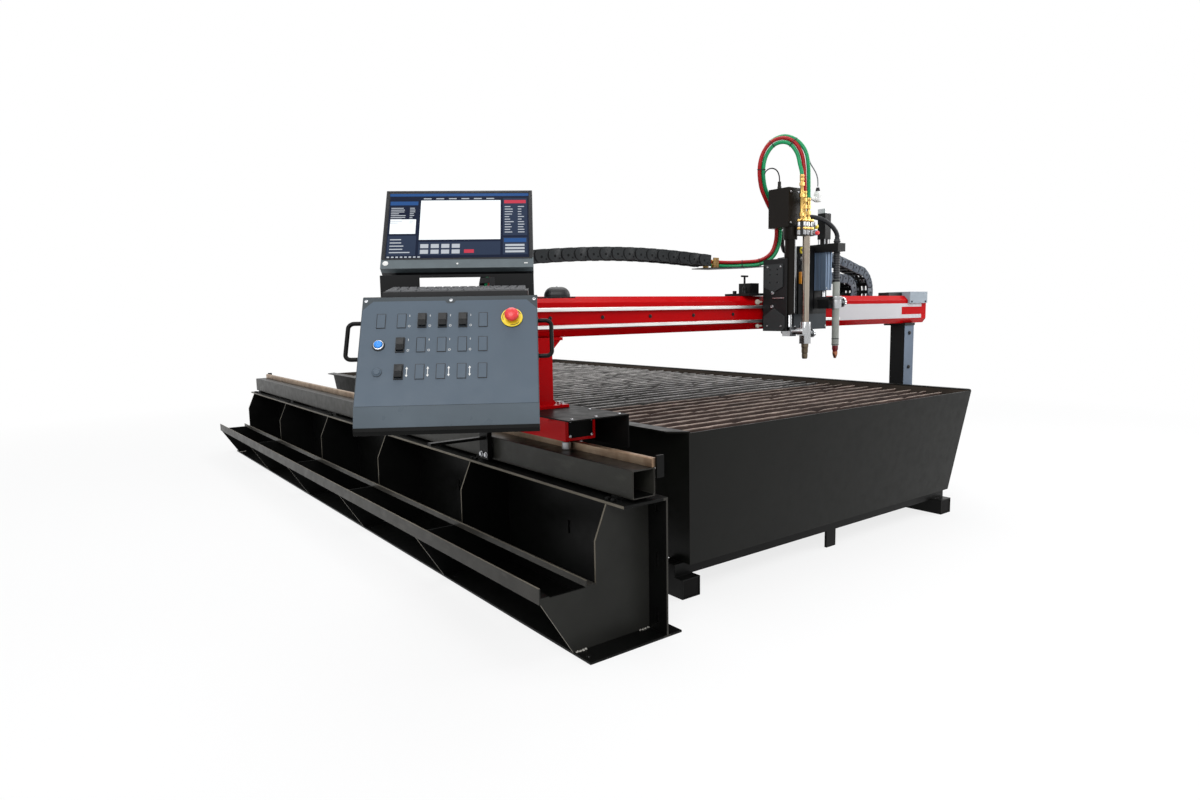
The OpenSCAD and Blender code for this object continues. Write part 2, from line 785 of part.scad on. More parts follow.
module carriage_column() {
    flange_t = 12;
    flange_out = 20;
    ear = 64;
    gusset = 48;
    top_reach = 53;
    z0 = cover_top;
    y0 = gantry_y;
    y1 = gantry_y + column_w;
    color("#b3121c") {
        difference() {
            union() {
                box([column_x0 - flange_out, y0 - flange_out, z0],
                    [column_x1 + ear, y1 - 5, z0 + flange_t]);
                box([column_x0, y0, z0 + flange_t], [column_x1, y1, beam_z - flange_t]);
                box([column_x0 - flange_out, y0, beam_z - flange_t], [column_x1 + top_reach, y1, beam_z]);
                plate_xz([[column_x1, z0 + flange_t], [column_x1 + gusset, z0 + flange_t],
                    [column_x1, z0 + flange_t + gusset]], y0 + 50, beam_wall);
                plate_xz([[column_x1, beam_z - flange_t], [column_x1 + gusset, beam_z - flange_t],
                    [column_x1, beam_z - flange_t - gusset]], y0 + 10, beam_wall);
            }
            box([column_x0 + beam_wall, y0 + beam_wall, z0 - 1],
                [column_x1 - beam_wall, y1 - beam_wall, beam_z + 1]);
            box([column_x1 + 8, y0 + 140, z0 - 1], [column_x1 + ear + 1, y1, z0 + flange_t + 1]);
        }
    }
    color("#c9c9cb")
        for (y = [y0 + 8, y0 + 34])
            translate([column_x1 + ear - 16, y, z0 + flange_t])
                cylinder(h = 8, d = 18, $fn = 6);
}

// Outline of the cross beam, drawn in by a wall
function beam_outline(inset) =
    let (front = gantry_y + inset, back = gantry_y + beam_d - inset, low = beam_z + inset,
        high = beam_top - inset)
    [[front, low + 26], [front + 20, low], [back, low], [back, high], [front + 24, high],
    [front, high - 26]];

module cross_beam() {
    cap_t = 12;
    color("#b3121c") {
        difference() {
            plate_yz(beam_outline(0), beam_left, beam_right - beam_left);
            plate_yz(beam_outline(beam_wall), beam_left - 1, beam_right - beam_left + 2);
        }
        plate_yz(beam_outline(0), beam_right, cap_t);
        plate_yz(beam_outline(0), beam_left - cap_t, cap_t);
    }
}

module beam_rails() {
    waist = 4;
    length = beam_right - beam_left - 904;
    color("#c8c8c6")
        for (z = [rail_low_z, rail_high_z])
            plate_yz([[gantry_y, z - rail_h / 2], [gantry_y, z + rail_h / 2],
                [gantry_y - 5, z + rail_h / 2],
                [gantry_y - 8, z + rail_h / 2 - waist], [gantry_y - rail_d + 4, z + rail_h / 2],
                [gantry_y - rail_d, z + rail_h / 2 - 2], [gantry_y - rail_d, z - rail_h / 2 + 2],
                [gantry_y - rail_d + 4, z - rail_h / 2], [gantry_y - 8, z - rail_h / 2 + waist],
                [gantry_y - 5, z - rail_h / 2]], beam_left + 20, length);
}

module end_cover() {
    cover_w = 194;
    lip = 45;
    rise = 24;
    switch_w2 = 140;
    x0 = beam_right - cover_w;
    color("#8d8f93")
        plate_yz([[gantry_y, beam_top - lip], [gantry_y, beam_top - 26], [gantry_y + 24, beam_top],
            [gantry_y + beam_d, beam_top], [gantry_y + beam_d, beam_top + rise],
            [gantry_y - 14, beam_top + rise], [gantry_y - 14, beam_top - lip]], x0, cover_w);
    color("#202022")
        box([x0 - switch_w2, gantry_y + 40, beam_top], [x0, gantry_y + 110, beam_top + rise - 4]);
}

module right_post() {
    wall = beam_wall;
    y0 = gantry_y + 5;
    top = right_truck_z + right_truck_h;
    x0 = slave_x - leg_w / 2;
    flange = 14;
    color("#1b1b1d") {
        section([x0, y0, top], [x0 + leg_w, y0 + leg_d, beam_z - flange], wall, 2);
        box([x0 - 4, y0 - 4, beam_z - flange], [x0 + leg_w + 4, y0 + leg_d + 44, beam_z]);
        box([x0, right_truck_y0, top - wall], [x0 + leg_w, right_truck_y1, top]);
        for (x = [x0, x0 + leg_w - wall])
            box([x, right_truck_y0, right_truck_z], [x + wall, right_truck_y1, top - wall]);
        for (y = right_wheel_ys())
            rod([x0 + wall, y, slave_running_z + right_wheel_r + run_gap],
                [x0 + leg_w - wall, y, slave_running_z + right_wheel_r + run_gap], 2 * axle_r);
    }
}

function right_wheel_ys() = [right_truck_y0 + right_wheel_inset, right_truck_y1 - right_wheel_inset];

module chain_tray() {
    sheet = 4;
    lip = 40;
    back = chain_y + chain_w + 8;
    x0 = loop_a_x - 20;
    x1 = loop_b_x + 20;
    y0 = gantry_y + beam_d;
    color("#2a2a2c")
        plate_yz([[y0, chain_tray_z + 12], [y0, chain_tray_z - sheet], [back, chain_tray_z - sheet],
            [back, chain_tray_z + lip], [back - sheet, chain_tray_z + lip], [back - sheet, chain_tray_z],
            [y0 + sheet, chain_tray_z], [y0 + sheet, chain_tray_z + 12]], x0, x1 - x0);
}

// One link of a drag chain between two pins, with cranked side plates that lap beside the next link's
module chain_link(p, q, h) {
    v = q - p;
    l = norm(v);
    r = h / 2;
    t = chain_t;
    gap = 0.2;
    lap = 3;
    bar_len = 20;
    bar_t = 5;
    inner = t + gap;
    translate([p.x, chain_y, p.y])
        rotate([0, -atan2(v.y, v.x), 0]) {
            for (y = [0, chain_w - t])
                lap_plate(l, l / 2, l, r, y);
            for (y = [inner, chain_w - inner - t])
                lap_plate(0, 0, l / 2, r, y);
            for (y = [0, chain_w - inner - t])
                translate([l / 2 - lap, y, -r])
                    cube([2 * lap, inner + t, 2 * r]);
            for (z = [-r, r - bar_t])
                translate([(l - bar_len) / 2, inner + t, z])
                    cube([bar_len, chain_w - 2 * (inner + t), bar_t]);
        }
}

// Half of a side plate, rounded about its pin
module lap_plate(pin, x0, x1, r, y) {
    translate([0, y + chain_t, 0])
        rotate([90, 0, 0])
            linear_extrude(chain_t)
                union() {
                    translate([x0, -r])
                        square([x1 - x0, 2 * r]);
                    translate([pin, 0])
                        circle(r = r);
                }
}

module drag_chain(pins, h) {
    color("#232427")
        for (i = [0 : len(pins) - 2])
            chain_link(pins[i], pins[i + 1], h);
}

module hose_chain() {
    drag_chain(chain_pins([chain_a_end, chain_a_end_z], [loop_a_x, loop_z], loop_r, chain_a_fixed, -1,
        chain_pitch, 26),
        chain_h);
}

// The outer cable chain and a smaller one that runs inside its loop
module cable_chain() {
    drag_chain(chain_pins([chain_b_end, chain_b_end_z], [loop_b_x, cable_loop_z], loop_r,
        chain_b_fixed, 1, cable_pitch, 26),
        cable_h);
    drag_chain(chain_pins([chain_c_end, chain_c_end_z], [loop_c_x, cable_loop_z], loop_c_r,
        chain_c_fixed, 1, cable_pitch, 8),
        cable_h);
}

module console_arm() {
    sleeve_d = 72;
    y0 = gantry_y + 50;
    x0 = console_x - arm_w / 2;
    z1 = arm_low_z + arm_h;
    color("#1d1d1f")
        difference() {
            union() {
                box([x0, y0, arm_low_z], [column_x0, y0 + arm_w, z1]);
                box([x0, console_y, arm_low_z], [x0 + arm_w, y0, z1]);
                translate([console_x, console_y, arm_low_z])
                    cylinder(h = arm_h, d = sleeve_d);
            }
            translate([console_x, console_y, arm_low_z - 1])
                cylinder(h = arm_h + 2, d = post_d + 2 * run_gap);
        }
}

// Wheels, rollers and pinion

module flanged_wheel(r, w, bore_r) {
    color("#8f9092")
        rotate([0, 90, 0])
            difference() {
                union() {
                    cylinder(h = w, r = r, center = true);
                    cylinder(h = w + 14, r = bore_r + 9, center = true);
                }
                cylinder(h = w + 16, r = bore_r, center = true);
                for (s = [-1, 1])
                    translate([0, 0, s * w / 2])
                        difference() {
                            cylinder(h = 8, r = r - 7, center = true);
                            cylinder(h = 9, r = bore_r + 8, center = true);
                        }
            }
}

module load_wheel_front() {
    translate([bar_mid, wheel_front_y, running_z + wheel_r + run_gap])
        flanged_wheel(wheel_r, bar_w - 4, axle_r + run_gap);
}

module load_wheel_rear() {
    translate([bar_mid, wheel_rear_y, running_z + wheel_r + run_gap])
        flanged_wheel(wheel_r, bar_w - 4, axle_r + run_gap);
}

module guide_roller(x) {
    color("#b9babc")
        translate([x, roller_y, roller_z])
            difference() {
                cylinder(h = roller_h, r = roller_r);
                translate([0, 0, -1])
                    cylinder(h = roller_h + 2, r = roller_r / 2 + run_gap);
            }
}

module guide_roller_left() {
    guide_roller(roller_xs()[0]);
}

module guide_roller_right() {
    guide_roller(roller_xs()[1]);
}

module right_wheel_front() {
    translate([slave_x, right_wheel_ys()[0], slave_running_z + right_wheel_r + run_gap])
        flanged_wheel(right_wheel_r, slave_bar_w - 6, axle_r + run_gap);
}

module right_wheel_rear() {
    translate([slave_x, right_wheel_ys()[1], slave_running_z + right_wheel_r + run_gap])
        flanged_wheel(right_wheel_r, slave_bar_w - 6, axle_r + run_gap);
}

module drive_pinion() {
    steps = 5;
    r_base = pinion_r * cos(press_angle);
    r_tip = pinion_r + rack_m - 0.4;
    r_root = pinion_r - 1.25 * rack_m;
    r_low = max(r_base, r_root + 0.2);
    half = 90 / pinion_teeth + involute(r_base, pinion_r)[1];
    side = [for (k = [0 : steps]) let (p = involute(r_base, mix(r_low, r_tip, k / steps))) [p[0],
        half - p[1]]];
    tooth = concat([[r_root, half]], side, [for (k = [steps : -1 : 0]) [side[k][0], -side[k][1]]],
        [[r_root, -half]]);
    turn = 360 / pinion_teeth;
    color("#8f9092")
        translate([pinion_x, pinion_y, rack_z + 2]) {
            linear_extrude(rack_h - 4)
                polygon([for (i = [pinion_teeth - 1 : -1 : 0]) for (p = tooth)
                    let (a = 180 + (i + 0.5) * turn + p[1]) [p[0] * cos(a), p[0] * sin(a)]]);
            cylinder(h = cover_top - rack_z - 2 - run_gap, r = axle_r);
        }
}

// Console, in a frame that stands on its swivel axis and faces the operator

module in_console() {
    translate([console_x, console_y, 0])
        rotate(console_yaw)
            children();
}

// Places a piece on the front panel, from the panel's middle and its lower edge, with Z out of the panel
module on_panel(at) {
    in_console()
        translate([at[0], 0, 0] + panel_low + at[1] * panel_up)
            rotate([90 - panel_tilt, 0, 0])
                children();
}

module console_post() {
    flange_d = 150;
    flange_t = 8 - run_gap;
    color("#2a2a2c")
        in_console() {
            translate([0, 0, arm_low_z - 12])
                cylinder(h = console_z - arm_low_z + 12, d = post_d);
            translate([0, 0, console_z - flange_t])
                cylinder(h = flange_t, d = flange_d);
            translate([0, 0, arm_low_z - 12])
                cylinder(h = 12 - run_gap, d = post_d + 14);
        }
}

function panel_normal(tilt) = [0, -cos(tilt), sin(tilt)];

// Side outline of the housing, drawn in by a wall behind the panel
function housing_outline(inset) =
    let (back = 90 - inset, low = console_z + inset, high = deck_z - inset,
        depth = (panel_t + inset) / cos(panel_tilt),
        front = function (z) mix(crease.y, panel_top.y,
            (z - crease.z) / (panel_top.z - crease.z)) + depth)
    [[front(crease.z) + 4, low], [back, low], [back, high], [front(high), high],
    [front(crease.z), crease.z]];

module console_box() {
    wall = 3;
    color("#1d1d1f")
        difference() {
            in_console()
                difference() {
                    plate_yz(housing_outline(0), -console_w / 2 + 4, console_w - 8);
                    plate_yz(housing_outline(wall), -console_w / 2 + 4 + wall, console_w - 8 - 2 * wall);
                }
            for (at = [estop_at, start_at])
                on_panel(at)
                    cylinder(h = 60, d = 30, center = true);
        }
}

module console_panel() {
    n = panel_t * panel_normal(panel_tilt);
    m = panel_t * panel_normal(lip_tilt);
    hem = 20;
    color("#4a4e54")
        difference() {
            in_console()
                plate_yz([for (p = [panel_top, crease, lip_end, lip_end + [0, hem, 0],
                    lip_end + [0, hem, 3],
                    lip_end - m + [0, 0, 2], crease - n, panel_top - n]) [p.y, p.z]], -console_w / 2,
                        console_w);
            for (at = [estop_at, start_at])
                on_panel(at)
                    cylinder(h = 40, d = 22.6, center = true);
        }
}

module console_handles() {
    grip_d = 12;
    reach = 42;
    low = 218;
    high = 332;
    bend = 16;
    in_depth = -18;
    color("#202022")
        for (s = [-1, 1])
            on_panel([s * (console_w / 2 - 4), 0])
                translate([0, 0, in_depth]) {
                    translate([s * reach, low + bend, 0])
                        rotate([-90, 0, 0])
                            cylinder(h = high - low - 2 * bend, d = grip_d);
                    for (q = [low, high])
                        translate([0, q, 0])
                            rotate([0, 90 * s, 0])
                                cylinder(h = reach - bend, d = grip_d);
                    for (q = [[low + bend, -1], [high - bend, 1]])
                        translate([s * (reach - bend), q[0], 0])
                            intersection() {
                                rotate_extrude()
                                    translate([bend, 0])
                                        circle(d = grip_d);
                                translate([s > 0 ? 0 : -2 * bend, q[1] > 0 ? 0 : -2 * bend, -bend])
                                    cube(2 * bend);
                            }
                }
}

module monitor_bracket() {
    sheet = deck_t;
    z0 = deck_z + deck_t;
    upright_y = monitor_y - 8;
    window = [[-132, z0 + 14], [107, z0 + 66]];
    shelf = [124, 200];
    back_low = [monitor_y, monitor_z] + monitor_t * [cos(monitor_tilt), -sin(monitor_tilt)];
    back_high = back_low + 150 * [sin(monitor_tilt), cos(monitor_tilt)];
    half = console_w / 2;
    color("#1d1d1f")
        in_console()
            difference() {
                union() {
                    box([-half, panel_top.y + 4, deck_z], [half, deck_y1, z0]);
                    box([half, shelf[1], deck_z], [half + shelf[0], deck_y1, z0]);
                    box([monitor_x - half, upright_y, z0],
                        [monitor_x + half, upright_y + sheet, back_low[1] - 1]);
                    for (x = [-half + 30, half - 30 - sheet])
                        plate_yz([[upright_y + sheet, z0], [deck_y1, z0], [deck_y1, back_high[1]],
                            back_high, back_low,
                            [upright_y + sheet, back_low[1]]], x, sheet);
                }
                box([window[0].x, upright_y - 1, window[0].y], [window[1].x, upright_y + sheet + 1,
                    window[1].y]);
            }
}

module monitor() {
    bezel = 12;
    chin = 40;
    recess = 1.5;
    color("#202124")
        in_console()
            translate([monitor_x, monitor_y, monitor_z])
                rotate([90 - monitor_tilt, 0, 0])
                    difference() {
                        translate([-monitor_w / 2, 0, -monitor_t])
                            cube([monitor_w, monitor_h, monitor_t]);
                        translate([-monitor_w / 2 + bezel, chin, -recess])
                            cube([monitor_w - 2 * bezel, monitor_h - chin - bezel, recess + 1]);
                        translate([-monitor_w / 2 - 1, monitor_h - 8, -monitor_t - 1])
                            cube([monitor_w + 2, 9, 12]);
                    }
}

module keyboard_mouse() {
    board = [412, 140];
    board_x = 12;
    board_low = 14;
    board_high = 24;
    board_y = -118;
    mouse_at = [309, 256];
    mouse_d = 60;
    z0 = deck_z + deck_t;
    color("#18181a")
        in_console() {
            plate_yz([[board_y, z0], [board_y + board[1], z0], [board_y + board[1], z0 + board_high],
                [board_y, z0 + board_low]], board_x - board[0] / 2, board[0]);
            translate([mouse_at[0], mouse_at[1], z0])
                intersection() {
                    hull()
                        for (x = [-14, 14], y = [-12, 12])
                            translate([x, y, 4])
                                sphere(d = mouse_d, $fn = 24);
                    translate([-60, -60, 0])
                        cube([120, 120, 40]);
                }
        }
}

// Middle of a switch place in the grid
function switch_at(place) = [-189 + place[0] * switch_pitch, row_q[place[1]]];

module switch_plates() {
    plate_h = 2.5;
    frame_h = 4;
    rim = 2;
    ring_d = 60;
    color("#232427") {
        for (place = blanks)
            on_panel(switch_at(place))
                translate([-switch_w / 2, -switch_h / 2, 0])
                    cube([switch_w, switch_h, plate_h]);
        for (place = rockers)
            on_panel(switch_at(place))
                difference() {
                    translate([-switch_w / 2, -switch_h / 2, 0])
                        cube([switch_w, switch_h, frame_h]);
                    translate([-switch_w / 2 + rim, -switch_h / 2 + rim, -1])
                        cube([switch_w - 2 * rim, switch_h - 2 * rim, frame_h + 2]);
                }
        on_panel(plug_at) {
            cylinder(h = 3, d = 26);
            translate([0, 0, 3])
                cylinder(h = 4, d1 = 22, d2 = 14);
        }
        on_panel(start_at)
            difference() {
                cylinder(h = 5, d = 30);
                translate([0, 0, -1])
                    cylinder(h = 7, d = 22.6);
            }
    }
    color("#e8c81e")
        on_panel(estop_at)
            difference() {
                cylinder(h = 4, d = ring_d);
                translate([0, 0, -1])
                    cylinder(h = 6, d = 22.6);
            }
}

module estop_button() {
    color("#c4151c")
        on_panel(estop_at)
            rotate_extrude()
                polygon([[0, -3], [11, -3], [11, 12], [16, 13], [20, 18], [20, 24], [17, 29], [10, 32],
                    [0, 33]]);
}

module start_button() {
    color("#1d5fae")
        on_panel(start_at)
            rotate_extrude()
                polygon([[0, -3], [11, -3], [11, 10], [9.5, 11.5], [0, 11.5]]);
}

// A rocker on a round pivot, with a dished face
module rocker(i) {
    half = switch_h / 2 - 4;
    width = switch_w - 5;
    pivot_d = 4;
    pivot_z = 2.3;
    color("#101012")
        on_panel(switch_at(rockers[i])) {
            translate([-width / 2, 0, 0])
                plate_yz([[-1.5, pivot_z], [1.5, pivot_z], [1.5, 5], [half, 5], [half, 11.5], [0, 9],
                    [-half, 11.5],
                    [-half, 5], [-1.5, 5]], 0, width);
            translate([-width / 2 - 0.2, 0, pivot_z])
                rotate([0, 90, 0])
                    cylinder(h = width + 0.4, d = pivot_d);
        }
}

module rocker_1() { rocker(0); }
module rocker_2() { rocker(1); }
module rocker_3() { rocker(2); }
module rocker_4() { rocker(3); }
module rocker_5() { rocker(4); }

// Torch station

module torch_plate() {
    cheek_front = gantry_y - 160;
    cheek_back = gantry_y - 18;
    cheek_z1 = beam_z + 339;
    plate_z0 = beam_z - 9;
    plate_z1 = beam_z + 256;
    shelf_z = beam_z + 304;
    shelf_t = 4;
    seat_gap = 0.5;
    shelf_b_z = chain_b_end_z - cable_h / 2 - seat_gap - shelf_t;
    shelf_c_z = chain_c_end_z - cable_h / 2 - seat_gap - shelf_t;
    x1 = station_x + station_w;
    bracket_h = 52;
    cheek_mid = gantry_y - 89;
    trim_t = 6;
    trim_hole = 8;
    color("#202022") {
        box([station_x, cheek_front, plate_z0], [station_x + plate_t, cheek_back, cheek_z1]);
        box([station_x + plate_t, plate_y, plate_z0], [x1, plate_y + plate_t, plate_z1]);
        box([station_x + plate_t, plate_y, plate_z1], [station_x + 90, plate_y + plate_t, cheek_z1]);
        translate([0, 0, shelf_z])
            linear_extrude(shelf_t)
                polygon([[chain_a_end - 37, chain_y + 5], [station_x, gantry_y - 45],
                    [station_x, gantry_y + 110],
                    [station_x - 92, chain_y + chain_w], [chain_a_end - 37, chain_y + chain_w]]);
        box([plasma_x - 30, plate_y, plate_z1], [plasma_x + 30, plate_y + plate_t, shelf_b_z]);
        translate([0, 0, shelf_b_z])
            linear_extrude(shelf_t)
                polygon([[plasma_x - 30, plate_y], [plasma_x + 30, plate_y], [chain_b_end + 30, chain_y],
                    [chain_b_end + 30, chain_y + chain_w], [chain_b_end - 60, chain_y + chain_w]]);
        translate([0, 0, shelf_c_z])
            linear_extrude(shelf_t)
                polygon([[plasma_x + 40, plate_y], [x1, plate_y], [chain_c_end + 30, chain_y],
                    [chain_c_end + 30, chain_y + chain_w], [chain_c_end - 60, chain_y + chain_w],
                    [chain_c_end - 60, chain_y]]);
    }
    color("#3a3c40") {
        difference() {
            plate_yz([[cheek_back - 9, cheek_z1 - 25], [cheek_front + 18, cheek_z1 - 25],
                [cheek_front + 18, beam_z + 204], [cheek_mid, beam_z + 180],
                [cheek_back - 9, beam_z + 204]], station_x - trim_t, trim_t);
            for (y = [cheek_mid - 21, cheek_mid + 24], z = [226, 264, 288])
                rod([station_x - trim_t - 1, y, beam_z + z], [station_x, y, beam_z + z], trim_hole);
        }
        plate_yz([[cheek_mid, beam_z + 102], [cheek_front + 5, beam_z + 61],
            [cheek_front + 5, plate_z0 + 16], [cheek_front + 20, plate_z0], [cheek_back - 8, plate_z0],
            [cheek_back - 8, beam_z + 61]], station_x - trim_t, trim_t);
        box([station_x + 190, plate_y - trim_t, plate_z0], [x1 - 8, plate_y, beam_z + 70]);
    }
    color("#b48a3c")
        difference() {
            box([chain_a_end + 32, chain_y + 9, shelf_z + shelf_t],
                [chain_a_end + 70, chain_y + chain_w - 9, shelf_z + shelf_t + bracket_h]);
            box([chain_a_end + 31, chain_y + 13, shelf_z + shelf_t + 4],
                [chain_a_end + 71, chain_y + chain_w - 13, shelf_z + shelf_t + bracket_h + 1]);
        }
}

module bearing_blocks() {
    block_w = 90;
    block_h = 48;
    y0 = plate_y + plate_t;
    y1 = gantry_y - 4;
    gap = run_gap;
    color("#77787b")
        for (x = [station_x + plate_t + 4, station_x + station_w - block_w - 4],
            z = [rail_low_z, rail_high_z])
            plate_yz([[y0, z - block_h / 2], [y1, z - block_h / 2], [y1, z - rail_h / 2 - gap],
                [gantry_y - rail_d - gap, z - rail_h / 2 - gap],
                [gantry_y - rail_d - gap, z + rail_h / 2 + gap],
                [y1, z + rail_h / 2 + gap], [y1, z + block_h / 2], [y0, z + block_h / 2]], x, block_w);
}

module clamp_block() {
    base_t2 = 12;
    z0 = beam_top + 1;
    base_y = gantry_y - 18;
    screw_x = station_x - 60;
    screw_y = gantry_y + 50;
    color("#202022")
        difference() {
            union() {
                box([station_x - 105, base_y, z0], [station_x + 23, gantry_y + 140, z0 + base_t2]);
                box([station_x - 36, gantry_y + 30, z0 + base_t2],
                    [station_x + 23, gantry_y + 110, z0 + base_t2 + 51]);
                translate([screw_x, screw_y, z0 + base_t2])
                    cylinder(h = 16, d = 24);
                translate([station_x - 88, gantry_y + 90, z0 + base_t2])
                    cylinder(h = 14, d = 20, $fn = 6);
            }
            translate([screw_x, screw_y, z0 + 2])
                cylinder(h = 60, d = 10.6);
        }
}

module clamp_handle() {
    z0 = beam_top + 1;
    screw_x = station_x - 60;
    screw_y = gantry_y + 50;
    color("#2c2c2e")
        translate([screw_x, screw_y, z0 + 3]) {
            cylinder(h = 98, d = 10);
            translate([0, 0, 26 + run_gap])
                cylinder(h = 16, d = 22);
            translate([-23, 0, 94])
                rotate([0, 90, 0])
                    cylinder(h = 46, d = 9);
        }
}

module oxy_lifter() {
    collar_d = 66;
    collar_h = 58;
    motor = [84, 122, 184];
    gland_d = 16;
    saddle = [beam_z + 140, beam_z + 250];
    color("#1c1c1e") {
        difference() {
            union() {
                translate([lift_x, lift_y, lift_z0])
                    cylinder(h = lift_z1 - lift_z0, d = lift_d);
                translate([lift_x, lift_y, lift_z1 - collar_h])
                    cylinder(h = collar_h, d = collar_d);
                box([lift_x - 18, lift_y, saddle[0]], [lift_x + 18, plate_y, saddle[1]]);
            }
            translate([lift_x, lift_y, lift_z0 - 1])
                cylinder(h = lift_z1 - lift_z0 - 20, d = lift_rod_d + 2 * run_gap);
        }
        box([lift_x - motor.x / 2, lift_y - 22, lift_z1],
            [lift_x + motor.x / 2, lift_y - 22 + motor.y, lift_z1 + motor.z]);
        translate([lift_x - 16, lift_y + 56, lift_z1 + motor.z]) {
            cylinder(h = 14, d = gland_d + 4, $fn = 6);
            translate([0, 0, 14])
                cylinder(h = 22, d = gland_d);
        }
    }
}

module plasma_lifter() {
    groove = 6;
    cap_h = 40;
    motor_w = 46;
    motor_h = 150;
    hub_h = 26;
    spine_w = 60;
    half = profile_w / 2;
    y0 = profile_y - 32;
    y1 = profile_y + 32;
    x = plasma_x;
    color("#4d5663")
        difference() {
            box([x - half, y0, profile_z0], [x + half, y1, profile_z1]);
            for (s = [-1, 1])
                box([x + s * half - groove / 2, profile_y - groove, profile_z0 - 1],
                    [x + s * half + groove / 2, profile_y + groove, profile_z1 + 1]);
            for (s = [-1, 1])
                box([x + s * 12 - groove / 2, y0 - 1, profile_z0 - 1],
                    [x + s * 12 + groove / 2, y0 + groove, profile_z1 + 1]);
            translate([x, profile_y, profile_z0 - 1])
                cylinder(h = profile_z1 - profile_z0 - 10, d = 20 + 2 * run_gap);
        }
    color("#1c1c1e") {
        box([x - spine_w / 2, y1, clamp_z], [x + spine_w / 2, plate_y, profile_z1 + cap_h]);
        difference() {
            box([x - spine_w / 2, plasma_y - 28, profile_z1], [x + spine_w / 2, y1, profile_z1 + cap_h]);
            translate([x, plasma_y, profile_z1 - 1])
                cylinder(h = cap_h + 2, d = plasma_d + 2);
        }
        translate([x, profile_y, profile_z1 + cap_h])
            cylinder(h = hub_h, d = motor_w - 8);
        translate([x - motor_w / 2, profile_y - motor_w / 2, profile_z1 + cap_h + hub_h])
            cube([motor_w, motor_w, motor_h]);
    }
}

module torch_holder() {
    sleeve_d = 54;
    sleeve_h = 104;
    block_w = 46;
    arm_d = 26;
    color("#c4c6c9")
        difference() {
            union() {
                translate([lift_x, lift_y, arm_z - 20])
                    cylinder(h = lift_z0 - arm_z + 270, d = lift_rod_d);
                box([lift_x - block_w / 2, lift_y - 24, arm_z - 22],
                    [lift_x + block_w / 2, lift_y + 24, arm_z + 24]);
                rod([lift_x, lift_y + 40, arm_z], [lift_x, oxy_y - 26, arm_z], arm_d);
                box([lift_x, oxy_y - 16, arm_z - 18], [oxy_x, oxy_y + 16, arm_z + 18]);
                translate([oxy_x, oxy_y, holder_z])
                    cylinder(h = sleeve_h, d = sleeve_d);
                rod([oxy_x, oxy_y, arm_z - 8], [knob_x, oxy_y, arm_z - 8], 20);
            }
            translate([oxy_x, oxy_y, holder_z - 1])
                cylinder(h = sleeve_h + 2, d = oxy_d);
        }
}

module holder_knob() {
    knob_d = 44;
    knob_t = 22;
    color("#c4c6c9")
        translate([knob_x + run_gap, oxy_y, arm_z - 8])
            rotate([0, 90, 0])
                difference() {
                    union() {
                        cylinder(h = 8, d = 24);
                        translate([0, 0, 8])
                            cylinder(h = knob_t - 8, d = knob_d);
                    }
                    for (a = [0 : 45 : 315])
                        rotate(a)
                            translate([knob_d / 2 + 2, 0, 4])
                                cylinder(h = knob_t, d = 9);
                }
}

module oxy_torch() {
    r = oxy_d / 2;
    z0 = holder_z - 74;
    z1 = beam_z + 442;
    color("#b9a695")
        translate([oxy_x, oxy_y, 0])
            rotate_extrude()
                polygon([[0, z0], [8, z0], [12, z0 + 26], [r - 3, z0 + 30], [r - 3, z0 + 52],
                    [r - 1, z0 + 56], [r, z0 + 74], [r, z1], [0, z1]]);
}

module torch_fittings() {
    z0 = beam_z + 442;
    block_h = 66;
    column_d = 16;
    nut_d = 24;
    nut_h = 16;
    columns = [[-39, 186, [24, 112, 164]], [-17, 111, [4, 60, 92]], [12, 82, [4, 34, 62]]];
    color("#c4c6c9") {
        box([oxy_x - 51, oxy_y - 19, z0], [oxy_x + 37, oxy_y + 19, z0 + block_h]);
        for (z = [z0 + 18, z0 + 48])
            rod([oxy_x + 37, oxy_y, z], [oxy_x + 64, oxy_y, z], 16);
    }
    color("#b48a3c")
        for (c = columns)
            translate([oxy_x + c[0], oxy_y, z0 + block_h]) {
                cylinder(h = c[1], d = column_d);
                for (z = c[2])
                    translate([0, 0, z])
                        cylinder(h = nut_h, d = nut_d, $fn = 6);
            }
}

module plasma_slide() {
    ring_d = 54;
    clamp_h = 60;
    block_w = 40;
    color("#b9bbbe")
        difference() {
            union() {
                translate([plasma_x, profile_y, clamp_z])
                    cylinder(h = profile_z0 - clamp_z + 140, d = 20);
                box([plasma_x - block_w / 2, plasma_y, clamp_z],
                    [plasma_x + block_w / 2, profile_y + 20, clamp_z + clamp_h]);
                translate([plasma_x, plasma_y, clamp_z])
                    cylinder(h = clamp_h, d = ring_d);
                rod([plasma_x, plasma_y, clamp_z + 32], [plasma_x + 44, plasma_y, clamp_z + 32], 22);
            }
            translate([plasma_x, plasma_y, clamp_z - 1])
                cylinder(h = clamp_h + 2, d = plasma_d);
        }
}

module plasma_torch() {
    r = plasma_d / 2;
    z0 = beam_z - 154;
    z1 = beam_z + 241;
    z2 = profile_z1 + 62;
    ribs = 16;
    rib = (z2 - z1) / (ribs + 1);
    sleeve = [for (i = [0 : ribs - 1]) let (z = z1 + (i + 0.5) * rib)
        each [[r - 3, z], [r - 0.5, z + rib * 0.25], [r - 0.5, z + rib * 0.6], [r - 3, z + rib * 0.85]]];
    color("#8e9196")
        translate([plasma_x, plasma_y, 0])
            rotate_extrude()
                polygon(concat([[0, z0], [5, z0], [9, z0 + 12], [12, z0 + 22], [12, z0 + 40],
                    [15, z0 + 44], [15, z0 + 62],
                    [r, z0 + 68], [r, z1], [r - 3, z1]], sleeve, [[r - 3, z2], [0, z2]]));
}

